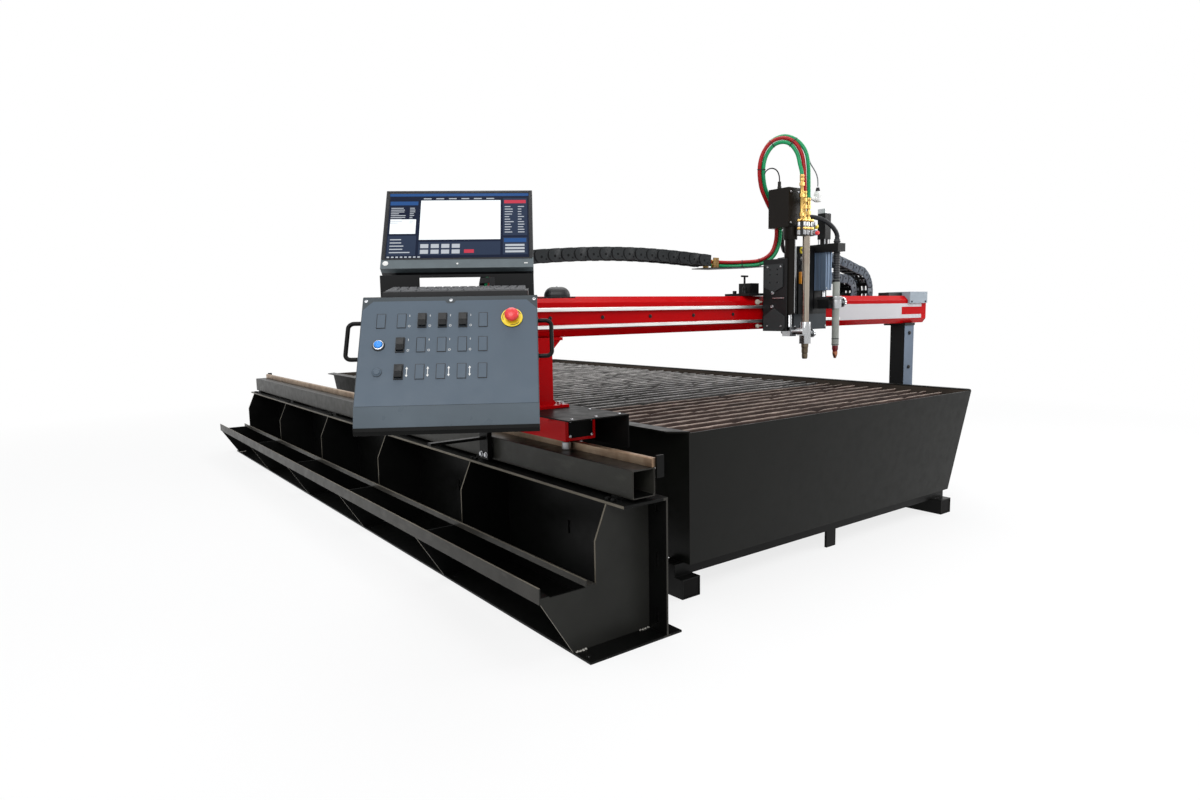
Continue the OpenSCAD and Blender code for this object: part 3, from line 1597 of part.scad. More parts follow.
// The cutting oxygen's hose and the heating oxygen's hose
module oxygen_hose() {
    color("#1f8f4e")
        for (route = [cutting_route, heating_route])
            hose(route, hose_d, 3, [0.8, 0.55, 0.1]);
}

module fuel_hose() {
    color("#b3262a")
        hose(fuel_route, hose_d, 3, [0.8, 0.55, 0.1]);
}

module plasma_lead() {
    color("#232427")
        hose(lead_route, lead_d, 3, [0.6, -0.2, 0.77]);
}

rail_stand();
stand_ribs();
rail_fittings();
rail_tube();
rail_bar();
gear_rack();
slave_rail();
tank_shell();
slat_combs();
support_slats();
table_skids();
carriage_truck();
carriage_cover();
drive_motor();
carriage_column();
cross_beam();
beam_rails();
end_cover();
right_post();
chain_tray();
hose_chain();
cable_chain();
console_arm();
load_wheel_front();
load_wheel_rear();
guide_roller_left();
guide_roller_right();
right_wheel_front();
right_wheel_rear();
drive_pinion();
console_post();
console_box();
console_panel();
console_handles();
monitor_bracket();
monitor();
keyboard_mouse();
switch_plates();
estop_button();
start_button();
rocker_1();
rocker_2();
rocker_3();
rocker_4();
rocker_5();
torch_plate();
bearing_blocks();
clamp_block();
clamp_handle();
oxy_lifter();
plasma_lifter();
torch_holder();
holder_knob();
oxy_torch();
torch_fittings();
plasma_slide();
plasma_torch();
oxygen_hose();
fuel_hose();
plasma_lead();
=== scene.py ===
"""Dresses the gantry cutting table for a plain studio picture.

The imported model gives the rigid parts. Each class below adds the pieces of one sub-assembly, and the
dresser gives the nodes their finishes. All sizes are metres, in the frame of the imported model.
"""

from __future__ import annotations

import logging
import math
import random
from abc import ABC, abstractmethod
from dataclasses import dataclass, field
from enum import Enum

import bmesh
import bpy
from mathutils import Matrix, Vector

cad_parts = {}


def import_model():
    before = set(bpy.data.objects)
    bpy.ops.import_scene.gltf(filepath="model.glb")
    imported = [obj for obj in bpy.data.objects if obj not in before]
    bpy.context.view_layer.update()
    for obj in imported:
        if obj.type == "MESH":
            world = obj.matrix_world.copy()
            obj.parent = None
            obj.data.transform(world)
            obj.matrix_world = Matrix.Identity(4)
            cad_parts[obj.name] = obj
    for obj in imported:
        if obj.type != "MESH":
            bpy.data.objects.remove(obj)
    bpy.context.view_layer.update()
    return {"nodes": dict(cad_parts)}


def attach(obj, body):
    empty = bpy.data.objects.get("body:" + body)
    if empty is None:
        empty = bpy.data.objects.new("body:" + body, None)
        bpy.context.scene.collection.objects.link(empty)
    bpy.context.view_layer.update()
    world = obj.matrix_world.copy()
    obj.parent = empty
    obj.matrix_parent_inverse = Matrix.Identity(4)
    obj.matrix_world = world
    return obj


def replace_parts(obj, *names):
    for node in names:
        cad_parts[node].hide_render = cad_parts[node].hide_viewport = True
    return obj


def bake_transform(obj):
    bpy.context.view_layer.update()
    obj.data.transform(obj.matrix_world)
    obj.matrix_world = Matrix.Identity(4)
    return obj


LOG = logging.getLogger("cutting_table")

Point = tuple[float, float, float]
Colour = tuple[float, float, float]
Rgba = tuple[float, float, float, float]
Box = tuple[float, float, float, float]
Pair = tuple[float, float]
Ease = tuple[float, float, int, int]
Outline = list[Pair]
Socket = bpy.types.NodeSocket

# Where a zone has no end: farther out than every part.
FAR = 50.0
LEFT, RIGHT, FRONT, UP = (-1, 0, 0), (1, 0, 0), (0, -1, 0), (0, 0, 1)
HERE = Matrix.Identity(4)
QUARTER_TURN = math.pi / 2
WHOLE_TURN = 2 * math.pi
WHITE: Rgba = (1.0, 1.0, 1.0, 1.0)
SMOOTH_ANGLE = math.radians(32)
BEVEL_ANGLE = math.radians(38)
BEVEL_STEPS = 2
FOLD_ANGLE = math.radians(12)
WELD_GAP = 0.00002


class Axis(Enum):
    """The axis along which a metal was ground or rolled, as the stretch of its grain."""

    X = (0.02, 1.0, 1.0)
    Y = (1.0, 0.02, 1.0)
    Z = (1.0, 1.0, 0.02)
    NONE = (1.0, 1.0, 1.0)


class Tree:
    """A node tree, with short calls for the nodes used here."""

    def __init__(self, tree: bpy.types.NodeTree) -> None:
        """Empties a node tree.

        Args:
            tree: The tree of a material or of the world.
        """
        self.tree = tree
        tree.nodes.clear()

    @staticmethod
    def fill(node: bpy.types.Node, **values: float | tuple[float, ...]) -> None:
        """Sets inputs of a node.

        Args:
            node: The node.
            values: Each input's value, by its name with underscores for spaces.
        """
        for key, value in values.items():
            node.inputs[key.replace("_", " ")].default_value = value

    def add(self, kind: str, **values: float | tuple[float, ...]) -> bpy.types.Node:
        """Adds a node.

        Args:
            kind: The node's type.
            values: Each input's value, by its name with underscores for spaces.

        Returns:
            The node.
        """
        node = self.tree.nodes.new(kind)
        self.fill(node, **values)
        return node

    def give(self, target: Socket, value: Socket | float) -> None:
        """Sets a socket from a number or from another socket.

        Args:
            target: The socket to set.
            value: The number or the other socket.
        """
        if isinstance(value, float):
            target.default_value = value
        else:
            self.tree.links.new(value, target)

    def math(self, operation: str, *values: Socket | float) -> Socket:
        """Works out a value.

        Args:
            operation: Name of the sum.
            values: Its sockets or numbers.

        Returns:
            A value socket.
        """
        node = self.add("ShaderNodeMath")
        node.operation = operation
        for socket, value in zip(node.inputs, values):
            self.give(socket, value)
        return node.outputs["Value"]

    def span(self, fac: Socket, low: float, high: float,
             from_low: float = 0.3, from_high: float = 0.7) -> Socket:
        """Maps a value to another range.

        Args:
            fac: The value.
            low: Result at from_low.
            high: Result at from_high.
            from_low: Lower end of the value.
            from_high: Upper end of the value.

        Returns:
            A value socket.
        """
        node = self.add("ShaderNodeMapRange", From_Min=from_low, From_Max=from_high, To_Min=low, To_Max=high)
        self.give(node.inputs["Value"], fac)
        return node.outputs["Result"]

    def seen(self) -> Socket:
        """Gives 1 for rays that show the background: straight, mirrored or through glass.

        Returns:
            A value socket.
        """
        path = self.add("ShaderNodeLightPath")
        value = path.outputs["Is Camera Ray"]
        for other in ("Is Glossy Ray", "Is Transmission Ray"):
            value = self.math("MAXIMUM", value, path.outputs[other])
        return value

    def surface(self, output: str, fac: Socket, first: Socket, second: Socket) -> None:
        """Ends the tree in a mix of two shaders.

        Args:
            output: Type of the output node.
            fac: 0 for the first shader, 1 for the second.
            first: A shader socket.
            second: A shader socket.
        """
        mix = self.add("ShaderNodeMixShader")
        for target, value in zip(mix.inputs, (fac, first, second)):
            self.give(target, value)
        self.give(self.add(output).inputs["Surface"], mix.outputs["Shader"])


class Graph(Tree):
    """A material's node tree round a principled shader."""

    def __init__(self, name: str) -> None:
        """Starts a material.

        Args:
            name: The material's name.
        """
        self.material = bpy.data.materials.new(name)
        self.material.use_nodes = True
        super().__init__(self.material.node_tree)
        output = self.add("ShaderNodeOutputMaterial")
        self.shader = self.add("ShaderNodeBsdfPrincipled")
        self.give(output.inputs["Surface"], self.shader.outputs["BSDF"])

    def plain(self, **values: float) -> None:
        """Sets shader sockets that are the same all over, named with underscores for spaces."""
        self.fill(self.shader, **values)

    def feed(self, key: str, value: Socket | float) -> None:
        """Sets a shader socket from a number or from another socket."""
        self.give(self.shader.inputs[key], value)

    def place(self, scale: Point) -> Socket:
        """Gives the object's coordinates, stretched.

        Args:
            scale: Factor along each axis.

        Returns:
            A vector socket.
        """
        coords = self.add("ShaderNodeTexCoord")
        mapping = self.add("ShaderNodeMapping", Scale=scale)
        self.give(mapping.inputs["Vector"], coords.outputs["Object"])
        return mapping.outputs["Vector"]

    def noise(self, scale: float, detail: float, stretch: Point = (1.0, 1.0, 1.0)) -> Socket:
        """Makes a cloudy pattern.

        Args:
            scale: Patches per metre.
            detail: Number of finer layers.
            stretch: Factor along each axis.

        Returns:
            A value socket from 0 to 1.
        """
        node = self.add("ShaderNodeTexNoise", Scale=scale, Detail=detail)
        self.give(node.inputs["Vector"], self.place(stretch))
        return node.outputs["Fac"]

    def ramp(self, fac: Socket, stops: list[tuple[float, Colour]]) -> Socket:
        """Turns a value into a colour.

        Args:
            fac: The value from 0 to 1.
            stops: Places on the ramp and their colours.

        Returns:
            A colour socket.
        """
        node = self.add("ShaderNodeValToRGB")
        elements = node.color_ramp.elements
        while len(elements) < len(stops):
            elements.new(0.5)
        for element, (at, colour) in zip(elements, stops):
            element.position = at
            element.color = (*colour, 1.0)
        self.give(node.inputs["Fac"], fac)
        return node.outputs["Color"]

    def shades(self, fac: Socket, colour: Colour, dark: float, light: float,
               low: float = 0.3, high: float = 0.7) -> Socket:
        """Turns a value into shades of one colour.

        Args:
            fac: The value from 0 to 1.
            colour: The colour.
            dark: Its factor at the low value.
            light: Its factor at the high value.
            low: The low value.
            high: The high value.

        Returns:
            A colour socket.
        """
        return self.ramp(fac, [(low, tint(colour, dark)), (high, tint(colour, light))])

    def along(self, axis: str, kind: str = "Object") -> Socket:
        """Gives one part of the object's coordinates or of the surface's direction.

        Args:
            axis: X, Y or Z.
            kind: Object for coordinates or Normal for the direction that the surface looks.

        Returns:
            A value socket.
        """
        coords = self.add("ShaderNodeTexCoord")
        split = self.add("ShaderNodeSeparateXYZ")
        self.give(split.inputs["Vector"], coords.outputs[kind])
        return split.outputs[axis]

    def between(self, value: Socket, low: float, high: float) -> Socket:
        """Gives 1 where a value lies between two ends and 0 elsewhere."""
        return self.math("COMPARE", value, (low + high) / 2, (high - low) / 2)

    def inside(self, low: Point, high: Point) -> Socket:
        """Gives 1 inside a box of the object's coordinates and 0 outside it.

        Args:
            low: Lowest corner, with -FAR where it has no end.
            high: Highest corner, with FAR where it has no end.

        Returns:
            A value socket.
        """
        tests = [self.between(self.along(axis), a, b)
                 for axis, a, b in zip("XYZ", low, high) if b - a < 2 * FAR]
        mask = tests[0]
        for test in tests[1:]:
            mask = self.math("MULTIPLY", mask, test)
        return mask

    def mix(self, fac: Socket, first: Socket | float, second: Socket | float,
            kind: str = "RGBA") -> Socket:
        """Mixes two colours or two numbers by a value.

        Args:
            fac: 0 for the first, 1 for the second.
            first: A socket or number.
            second: A socket or number.
            kind: RGBA for colours or FLOAT for numbers.

        Returns:
            A socket of that kind.
        """
        node = self.add("ShaderNodeMix")
        node.data_type = kind
        for key, value in (("Factor", fac), ("A", first), ("B", second)):
            self.give(node.inputs[key], value)
        return node.outputs["Result"]

    def bump(self, height: Socket, strength: float = 0.4) -> None:
        """Roughens the surface.

        Args:
            height: A value socket in metres.
            strength: How much it shows.
        """
        node = self.add("ShaderNodeBump", Strength=strength, Distance=1.0)
        self.give(node.inputs["Height"], height)
        self.feed("Normal", node.outputs["Normal"])


def tint(colour: Colour, factor: float) -> Colour:
    """Brightens or darkens a colour by a factor."""
    return tuple(min(1.0, c * factor) for c in colour)


@dataclass
class Layer:
    """What a finish gives the shader: colour, roughness, share of metal and height in metres."""

    colour: Socket
    roughness: Socket
    metal: Socket | float
    height: Socket


@dataclass(frozen=True)
class Finish(ABC):
    """A surface finish that builds its material once."""

    name: str

    def material(self) -> bpy.types.Material:
        """Gives the finish's material, building it on first use."""
        return bpy.data.materials.get(self.name) or self.build()

    def build(self) -> bpy.types.Material:
        """Builds the material from the finish's layer.

        Returns:
            The material.
        """
        g = Graph(self.name)
        layer = self.layer(g)
        g.feed("Base Color", layer.colour)
        g.feed("Roughness", layer.roughness)
        g.feed("Metallic", layer.metal)
        g.bump(layer.height)
        self.extras(g)
        return g.material

    def extras(self, g: Graph) -> None:
        """Sets the sockets that are the same all over, where the finish has any."""

    @abstractmethod
    def layer(self, g: Graph) -> Layer:
        """Makes the finish's pattern.

        Args:
            g: The node tree.

        Returns:
            What the shader takes from it.
        """


@dataclass(frozen=True)
class Coat(Finish):
    """Powder coat or enamel with a fine peel, faint dust, uneven gloss and rubbed streaks."""

    colour: Colour
    roughness: float
    mottle: float = 0.12
    shine: float = 0.5
    peel: float = 900.0
    depth: float = 0.00012
    gloss: float = 0.0
    rubbed: float = 0.0
    worn: float = 3.0

    def layer(self, g: Graph) -> Layer:
        """Makes the coat's clouds, streaks and peel.

        Args:
            g: The node tree.

        Returns:
            The coat's layer.
        """
        cloud = g.noise(5.0, 5.0)
        colour = g.shades(cloud, self.colour, 1 - self.mottle, 1 + self.mottle)
        if self.rubbed:
            streaks = g.span(g.noise(34.0, 9.0, (1.0, 0.3, 1.0)), 0.0, self.rubbed, 0.56, 0.72)
            colour = g.mix(streaks, colour, g.shades(cloud, tint(self.colour, self.worn), 1.0, 1.4))
        roughness = g.span(g.noise(23.0, 6.0), self.roughness - 0.05, self.roughness + 0.07)
        return Layer(colour, roughness, 0.0, g.math("MULTIPLY", g.noise(self.peel, 2.0), self.depth))

    def extras(self, g: Graph) -> None:
        """Sets the clear coat and the level of the gloss."""
        g.plain(Coat_Weight=self.gloss, Coat_Roughness=0.12, Specular_IOR_Level=self.shine)


@dataclass(frozen=True)
class Steel(Finish):
    """Bare or plated metal with grinding streaks and stains."""

    colour: Colour
    roughness: float
    streak: Axis = Axis.NONE
    stain: Colour = (0.3, 0.3, 0.3)
    stained: float = 0.2
    metal: float = 1.0
    depth: float = 0.00008

    def layer(self, g: Graph) -> Layer:
        """Makes the metal's grain and stains.

        Args:
            g: The node tree.

        Returns:
            The metal's layer.
        """
        grain = g.noise(420.0, 3.0, self.streak.value)
        bare = g.shades(grain, self.colour, 0.86, 1.08, 0.35, 0.65)
        spots = g.span(g.noise(14.0, 7.0), 0.0, self.stained, 0.42, 0.7)
        colour = g.mix(spots, bare, g.shades(grain, self.stain, 1.0, 1.25))
        roughness = g.span(grain, self.roughness - 0.05, self.roughness + 0.1)
        return Layer(colour, roughness, self.metal, g.math("MULTIPLY", grain, self.depth))


@dataclass(frozen=True)
class Scorched(Finish):
    """Flame-cut slats, rusty near the operator, grey beyond the divider, with painted highlights on top."""

    colour: Colour
    roughness: float
    # The top edges' colours, near and far: a painted highlight where the tops catch the light.
    edge: Colour = (0.43, 0.34, 0.29)
    far_colour: Colour = (0.105, 0.1, 0.097)
    far_highlight: Colour = (0.45, 0.435, 0.42)
    divider_y: float = 1.08
    edge_z: float = 0.653
    edge_fade: float = 0.004
    edge_wave: float = 0.0025
    metal: float = 0.3
    depth: float = 0.001

    def layer(self, g: Graph) -> Layer:
        """Makes the two zones of burnt steel and the painted highlight on their top edges.

        Args:
            g: The node tree.

        Returns:
            The slats' layer.
        """
        far = g.inside((-FAR, self.divider_y, -FAR), (FAR, FAR, FAR))
        cloud = g.noise(11.0, 8.0, (0.35, 1.0, 1.0))
        wavy = g.math("ADD", g.along("Z"), g.span(g.noise(18.0, 4.0), -self.edge_wave, self.edge_wave))
        # The top band of each slat takes the painted highlight.
        top = g.span(wavy, 0.0, 1.0, self.edge_z, self.edge_z + self.edge_fade)
        faces, edges = ([g.ramp(cloud, [(0.3, tint(c, 0.5)), (0.55, c), (0.75, tint(c, 1.6))]) for c in pair]
                        for pair in ((self.colour, self.far_colour), (self.edge, self.far_highlight)))
        colour = g.mix(top, g.mix(far, *faces), g.mix(far, *edges))
        roughness = g.span(g.noise(60.0, 5.0), self.roughness - 0.12, self.roughness + 0.12)
        return Layer(colour, roughness, self.metal, g.math("MULTIPLY", g.noise(240.0, 6.0), self.depth))


@dataclass(frozen=True)
class Plastic(Finish):
    """Moulded plastic or rubber with a fine grain."""

    colour: Colour
    roughness: float
    grain: float = 1600.0
    depth: float = 0.00006
    shine: float = 0.5

    def layer(self, g: Graph) -> Layer:
        """Makes the plastic's grain.

        Args:
            g: The node tree.

        Returns:
            The plastic's layer.
        """
        colour = g.shades(g.noise(30.0, 4.0), self.colour, 0.92, 1.08)
        roughness = g.span(g.noise(90.0, 3.0), self.roughness - 0.04, self.roughness + 0.05)
        return Layer(colour, roughness, 0.0, g.math("MULTIPLY", g.noise(self.grain, 1.0), self.depth))

    def extras(self, g: Graph) -> None:
        """Sets the level of the gloss."""
        g.plain(Specular_IOR_Level=self.shine)


@dataclass(frozen=True)
class Lit(Finish):
    """A lit area of the monitor's picture, faintly uneven as seen through its glass."""

    colour: Colour
    glow: float = 0.8
    depth: float = 0.00001

    def layer(self, g: Graph) -> Layer:
        """Makes the lit area and its glass.

        Args:
            g: The node tree.

        Returns:
            The glass's layer.
        """
        g.feed("Emission Color", g.shades(g.noise(4.0, 1.0), self.colour, 0.94, 1.04, 0.2, 0.8))
        base = g.shades(g.noise(3.0, 1.0), self.colour, 0.3, 0.34, 0.2, 0.8)
        roughness = g.span(g.noise(60.0, 2.0), 0.18, 0.24)
        return Layer(base, roughness, 0.0, g.math("MULTIPLY", g.noise(300.0, 1.0), self.depth))

    def extras(self, g: Graph) -> None:
        """Sets the glow."""
        g.plain(Emission_Strength=self.glow, Specular_IOR_Level=0.1)


@dataclass(frozen=True)
class Zone:
    """A box of the object's coordinates, or the faces in it that look one way, with its finish."""

    finish: Finish
    low: Point = (-FAR, -FAR, -FAR)
    high: Point = (FAR, FAR, FAR)
    facing: tuple[str, float, float] | None = None

    def mask(self, g: Graph) -> Socket:
        """Gives 1 in the zone and 0 outside it.

        Args:
            g: The node tree.

        Returns:
            A value socket.
        """
        tests = []
        if any(b - a < 2 * FAR for a, b in zip(self.low, self.high)):
            tests.append(g.inside(self.low, self.high))
        if self.facing:
            axis, low, high = self.facing
            tests.append(g.between(g.along(axis, "Normal"), low, high))
        return g.math("MULTIPLY", *tests) if len(tests) > 1 else tests[0]


@dataclass(frozen=True)
class Zoned(Finish):
    """A base finish with other finishes in its zones."""

    base: Finish
    zones: tuple[Zone, ...]

    def layer(self, g: Graph) -> Layer:
        """Lays each zone's pattern over the base's.

        Args:
            g: The node tree.

        Returns:
            The joint layer.
        """
        over = self.base.layer(g)
        for zone in self.zones:
            mask = zone.mask(g)
            new = zone.finish.layer(g)
            over = Layer(g.mix(mask, over.colour, new.colour),
                         g.mix(mask, over.roughness, new.roughness, "FLOAT"),
                         g.mix(mask, over.metal, new.metal, "FLOAT"),
                         g.mix(mask, over.height, new.height, "FLOAT"))
        return over

    def extras(self, g: Graph) -> None:
        """Sets the base's plain sockets."""
        self.base.extras(g)


STAND_BLACK = Coat("stand black coat", (0.0034, 0.0035, 0.0033), 0.34, 0.2, 0.1)
# The end rib's outer face, lighter than the ribs behind it: painted light, as the end rib is lit and the
# others lie in shade.
LIT_END_RIB = Coat("end rib, painted light", (0.021, 0.021, 0.019), 0.36, 0.15, 0.15)
# The tray lips and the end faces of the web and the tube, lighter than the black: painted light from the
# reflection on them; the streaks are real rubbing.
LIP_LIGHT_AND_RUBBING = Coat("lips and end faces, painted light and rubbing", (0.034, 0.032, 0.028), 0.34, 0.2, 0.3, rubbed=0.2)
# Tan colour on the plates' edges: a painted highlight, where the edges catch the light.
EDGE_HIGHLIGHT = Coat("painted edge highlights", (0.13, 0.115, 0.09), 0.4, 0.3, 0.4)
# The rail tube's left faces, lighter than its top: painted light on the lit side; the streaks are real
# rubbing.
TUBE_SIDE_LIGHT_AND_RUBBING = Coat("rail tube side, painted light and rubbing", (0.026, 0.0255, 0.022), 0.34, 0.18, 0.2, rubbed=0.15)
TANK_BLACK = Coat("tank black coat", (0.0056, 0.0058, 0.0049), 0.36, 0.12, 0.11)
TANK_INSIDE = Coat("tank inside scale", (0.042, 0.033, 0.026), 0.6, 0.35, 0.2, 300.0, 0.0006)
DARK_COAT = Coat("dark machine coat", (0.0075, 0.0077, 0.0082), 0.44, 0.2, 0.16)
PLATE_COAT = Coat("station plate coat", (0.0105, 0.011, 0.0115), 0.46, 0.15, 0.2)
TRIM_COAT = Coat("trim plate coat", (0.034, 0.037, 0.038), 0.5, 0.12, 0.25)
SLATE_COAT = Coat("slate cover coat", (0.034, 0.041, 0.048), 0.5, 0.1, 0.25)
LIFTER_COAT = Coat("lifter brown black", (0.0085, 0.0068, 0.0054), 0.34, 0.15, 0.12)
RED_COAT = Coat("signal red enamel", (0.45, 0.0010, 0.0028), 0.2, 0.04, 0.045, 260.0, 0.00001, 0.02)
GREY_SHEET = Coat("grey sheet coat", (0.0075, 0.0072, 0.007), 0.36, 0.2, 0.03)
LIGHT_GREY = Coat("light slate coat", (0.27, 0.315, 0.36), 0.45, 0.06)
POST_SLATE = Coat("post slate coat", (0.125, 0.16, 0.215), 0.42, 0.12, 0.4)
WHITE_COAT = Coat("white enamel", (0.53, 0.515, 0.535), 0.4, 0.02)
PANEL_COAT = Coat("console panel coat", (0.047, 0.058, 0.066), 0.44, 0.08, 0.22, 1400.0, 0.0001)
# The bent lip is the panel's own sheet made lighter: a painted reflection; it is also a little glossier.
CONSOLE_LIP_REFLECTION = Coat("console lip, painted reflection", (0.072, 0.093, 0.112), 0.3, 0.14, 0.35, 420.0, 0.0002)
OVERLAY_COAT = Coat("console overlay film", (0.076, 0.102, 0.132), 0.42, 0.04, 0.22, 2200.0, 0.00005)
RAIL_STEEL = Steel("worn rail steel", (0.4, 0.3, 0.21), 0.4, Axis.Y, (0.17, 0.1, 0.06), 0.7)
BEAM_RAIL = Steel("ground beam rail", (0.78, 0.78, 0.77), 0.3, Axis.X, (0.5, 0.5, 0.5), 0.15)
GEAR_STEEL = Steel("machined gear steel", (0.36, 0.36, 0.37), 0.35, Axis.NONE, (0.2, 0.18, 0.15), 0.3)
BOLT_STEEL = Steel("zinc plated steel", (0.5, 0.51, 0.53), 0.3, Axis.NONE, (0.3, 0.3, 0.3), 0.3)
WELD_STEEL = Steel("weld bead steel", (0.42, 0.41, 0.38), 0.36, Axis.NONE, (0.12, 0.1, 0.08), 0.5)
CHROME = Steel("bright chrome", (0.45, 0.46, 0.47), 0.2, Axis.NONE, (0.24, 0.24, 0.25), 0.4)
TORCH_STEEL = Steel("polished torch tube", (0.37, 0.325, 0.27), 0.16, Axis.Z, (0.22, 0.15, 0.115), 0.4,
                    depth=0.00001)
BURNT_STEEL = Steel("burnt torch end", (0.17, 0.14, 0.1), 0.45, Axis.NONE, (0.07, 0.045, 0.03), 0.6)
BRASS = Steel("turned brass", (0.55, 0.36, 0.11), 0.27, Axis.NONE, (0.3, 0.17, 0.05), 0.4)
BRONZE = Steel("bronze bracket", (0.36, 0.23, 0.09), 0.4, Axis.NONE, (0.18, 0.11, 0.05), 0.4)
COPPER = Steel("copper tip", (0.5, 0.2, 0.11), 0.3, Axis.NONE, (0.12, 0.06, 0.04), 0.5)
ANODISED = Steel("anodised profile", (0.16, 0.22, 0.31), 0.42, Axis.Z, (0.12, 0.16, 0.23), 0.3, 0.45)
SCORCHED = Scorched("scorched slats", (0.062, 0.037, 0.03), 0.6)
HOSE_LINK = Plastic("hose chain plates", (0.0125, 0.0155, 0.017), 0.42, shine=0.22)
# The cable chains' plates are the hose chain's plastic made lighter: painted light, where those chains face
# the lamps.
LIT_CABLE_LINK = Plastic("cable chain plates, painted lighter", (0.056, 0.074, 0.099), 0.42, shine=0.3)
# Near black: painted shade in the gaps between the links and in the pin holes; the cross bars are this colour
# too.
LINK_SHADE_AND_BARS = Plastic("chain gap shade and bars", (0.003, 0.0034, 0.004), 0.55, shine=0.1)
BLACK_PLASTIC = Plastic("black plastic", (0.012, 0.012, 0.013), 0.42, shine=0.3)
ROCKER_PLASTIC = Plastic("rocker plastic", (0.0055, 0.006, 0.0065), 0.36, shine=0.2)
KEY_PLASTIC = Plastic("key plastic", (0.055, 0.057, 0.062), 0.5, shine=0.45)
GLOSS_BLACK = Plastic("gloss black plastic", (0.008, 0.008, 0.01), 0.16, 400.0, 0.00002)
BEZEL_PLASTIC = Plastic("bezel plastic", (0.014, 0.015, 0.017), 0.35, shine=0.3)
CHIN_PLASTIC = Plastic("bezel chin plastic", (0.1, 0.124, 0.135), 0.38)
RED_PLASTIC = Plastic("red plastic", (0.72, 0.035, 0.04), 0.3)
RED_RING = Plastic("dark red ring", (0.16, 0.012, 0.016), 0.35)
YELLOW_PLASTIC = Plastic("yellow plastic", (0.86, 0.66, 0.03), 0.35)
ORANGE_PLASTIC = Plastic("orange plastic", (0.72, 0.27, 0.01), 0.4)
BLUE_PLASTIC = Plastic("blue plastic", (0.012, 0.24, 0.78), 0.28)
WHITE_PLASTIC = Plastic("white plastic", (0.72, 0.72, 0.7), 0.35)
IVORY_PLASTIC = Plastic("ivory nylon", (0.5, 0.46, 0.38), 0.4)
TORCH_GREY = Plastic("torch body grey", (0.3, 0.315, 0.29), 0.36)
GREEN_RUBBER = Plastic("green hose rubber", (0.006, 0.28, 0.1), 0.34, 700.0, 0.00002, 0.3)
RED_RUBBER = Plastic("red hose rubber", (0.36, 0.011, 0.013), 0.34, 700.0, 0.00002, 0.22)
BLACK_RUBBER = Plastic("black cable rubber", (0.012, 0.013, 0.016), 0.5, 700.0, 0.00006, 0.35)
GREY_CABLE = Plastic("grey cable jacket", (0.2, 0.21, 0.22), 0.45)
SCREEN_NIGHT = Lit("screen night blue", (0.006, 0.011, 0.03))
SCREEN_SLATE = Lit("screen slate", (0.022, 0.034, 0.066))
SCREEN_WHITE = Lit("screen white", (0.86, 0.9, 0.92), 0.85)
SCREEN_BLUE = Lit("screen blue", (0.02, 0.075, 0.23))
SCREEN_RED = Lit("screen red", (0.5, 0.04, 0.07))
SCREEN_PALE = Lit("screen pale grey", (0.45, 0.48, 0.52))

# Over the stand's own black, the lighter zones below are painted light: painted highlights on edges and lit
# faces.
RIBS = Zoned("ribs and tray lips", STAND_BLACK, (
    Zone(EDGE_HIGHLIGHT, facing=("X", -1.1, -0.45)),
    Zone(LIP_LIGHT_AND_RUBBING, (-0.38, -FAR, 0.2), (-0.3655, FAR, 0.27)),
    Zone(LIP_LIGHT_AND_RUBBING, (-0.186, -FAR, 0.2205), (-0.1442, FAR, 0.2455)),
    Zone(EDGE_HIGHLIGHT, (-0.38, -FAR, 0.2585), (-0.36, FAR, 0.27)),
    Zone(EDGE_HIGHLIGHT, (-0.186, -FAR, 0.2435), (-0.179, FAR, 0.25)),
    Zone(LIT_END_RIB, (-FAR, -1.0, 0.0), (FAR, 0.0875, 0.6), ("Y", -1.1, -0.5))))
STAND = Zoned("stand web and edges", STAND_BLACK, (
    Zone(EDGE_HIGHLIGHT, (-0.11, -FAR, 0.488), (-0.09, FAR, 0.502), ("X", -1.1, -0.5)),
    Zone(LIP_LIGHT_AND_RUBBING, (0.08, -1.0, 0.0), (0.11, 0.0, 0.5), ("Y", -1.1, -0.5))))
TUBE = Zoned("rail tube faces", STAND_BLACK, (
    Zone(TUBE_SIDE_LIGHT_AND_RUBBING, facing=("X", -1.1, -0.5)),
    Zone(LIP_LIGHT_AND_RUBBING, facing=("Y", -1.1, -0.5))))
TANK = Zoned("tank outside and inside", TANK_BLACK, (
    Zone(TANK_INSIDE, (2.3, -FAR, 0.0), (2.7, FAR, 0.6768), ("X", -1.1, -0.4)),
    Zone(TANK_INSIDE, (0.2, -FAR, 0.0), (0.6, FAR, 0.6768), ("X", 0.4, 1.1)),
    Zone(TANK_INSIDE, (-FAR, 4.0, 0.0), (FAR, 4.3, 0.6768), ("Y", -1.1, -0.4)),
    Zone(TANK_INSIDE, (-FAR, 0.1, 0.0), (FAR, 0.4, 0.6768), ("Y", 0.4, 1.1))))
TRUCK = Zoned("truck red and tow black", RED_COAT, (
    Zone(STAND_BLACK, (-0.4, 0.9, 0.4), (-0.0585, 1.0, 0.7365)),))
COVER = Zoned("cover grey and face black", GREY_SHEET, (
    Zone(STAND_BLACK, (-0.02, 0.42, 0.65), (0.12, 0.4299, 0.742)),))
COLUMN = Zoned("column red and bolts", RED_COAT, (
    Zone(BOLT_STEEL, (0.11, 0.64, 0.7621), (0.14, 0.695, 0.776)),))
END_COVER = Zoned("end cover slate and black", LIGHT_GREY, (
    Zone(STAND_BLACK, (2.5, 0.6, 1.1), (2.6499, 0.9, 1.3)),))
POST = Zoned("post black and slate", DARK_COAT, (
    Zone(POST_SLATE, (2.62, 0.64, 0.4), (2.75, 0.6553, 1.019)),))
SLAVE = Zoned("slave rail black and bar", STAND_BLACK, (
    Zone(RAIL_STEEL, (2.66, -1.0, 0.5312), (2.71, 9.0, 0.55)),))
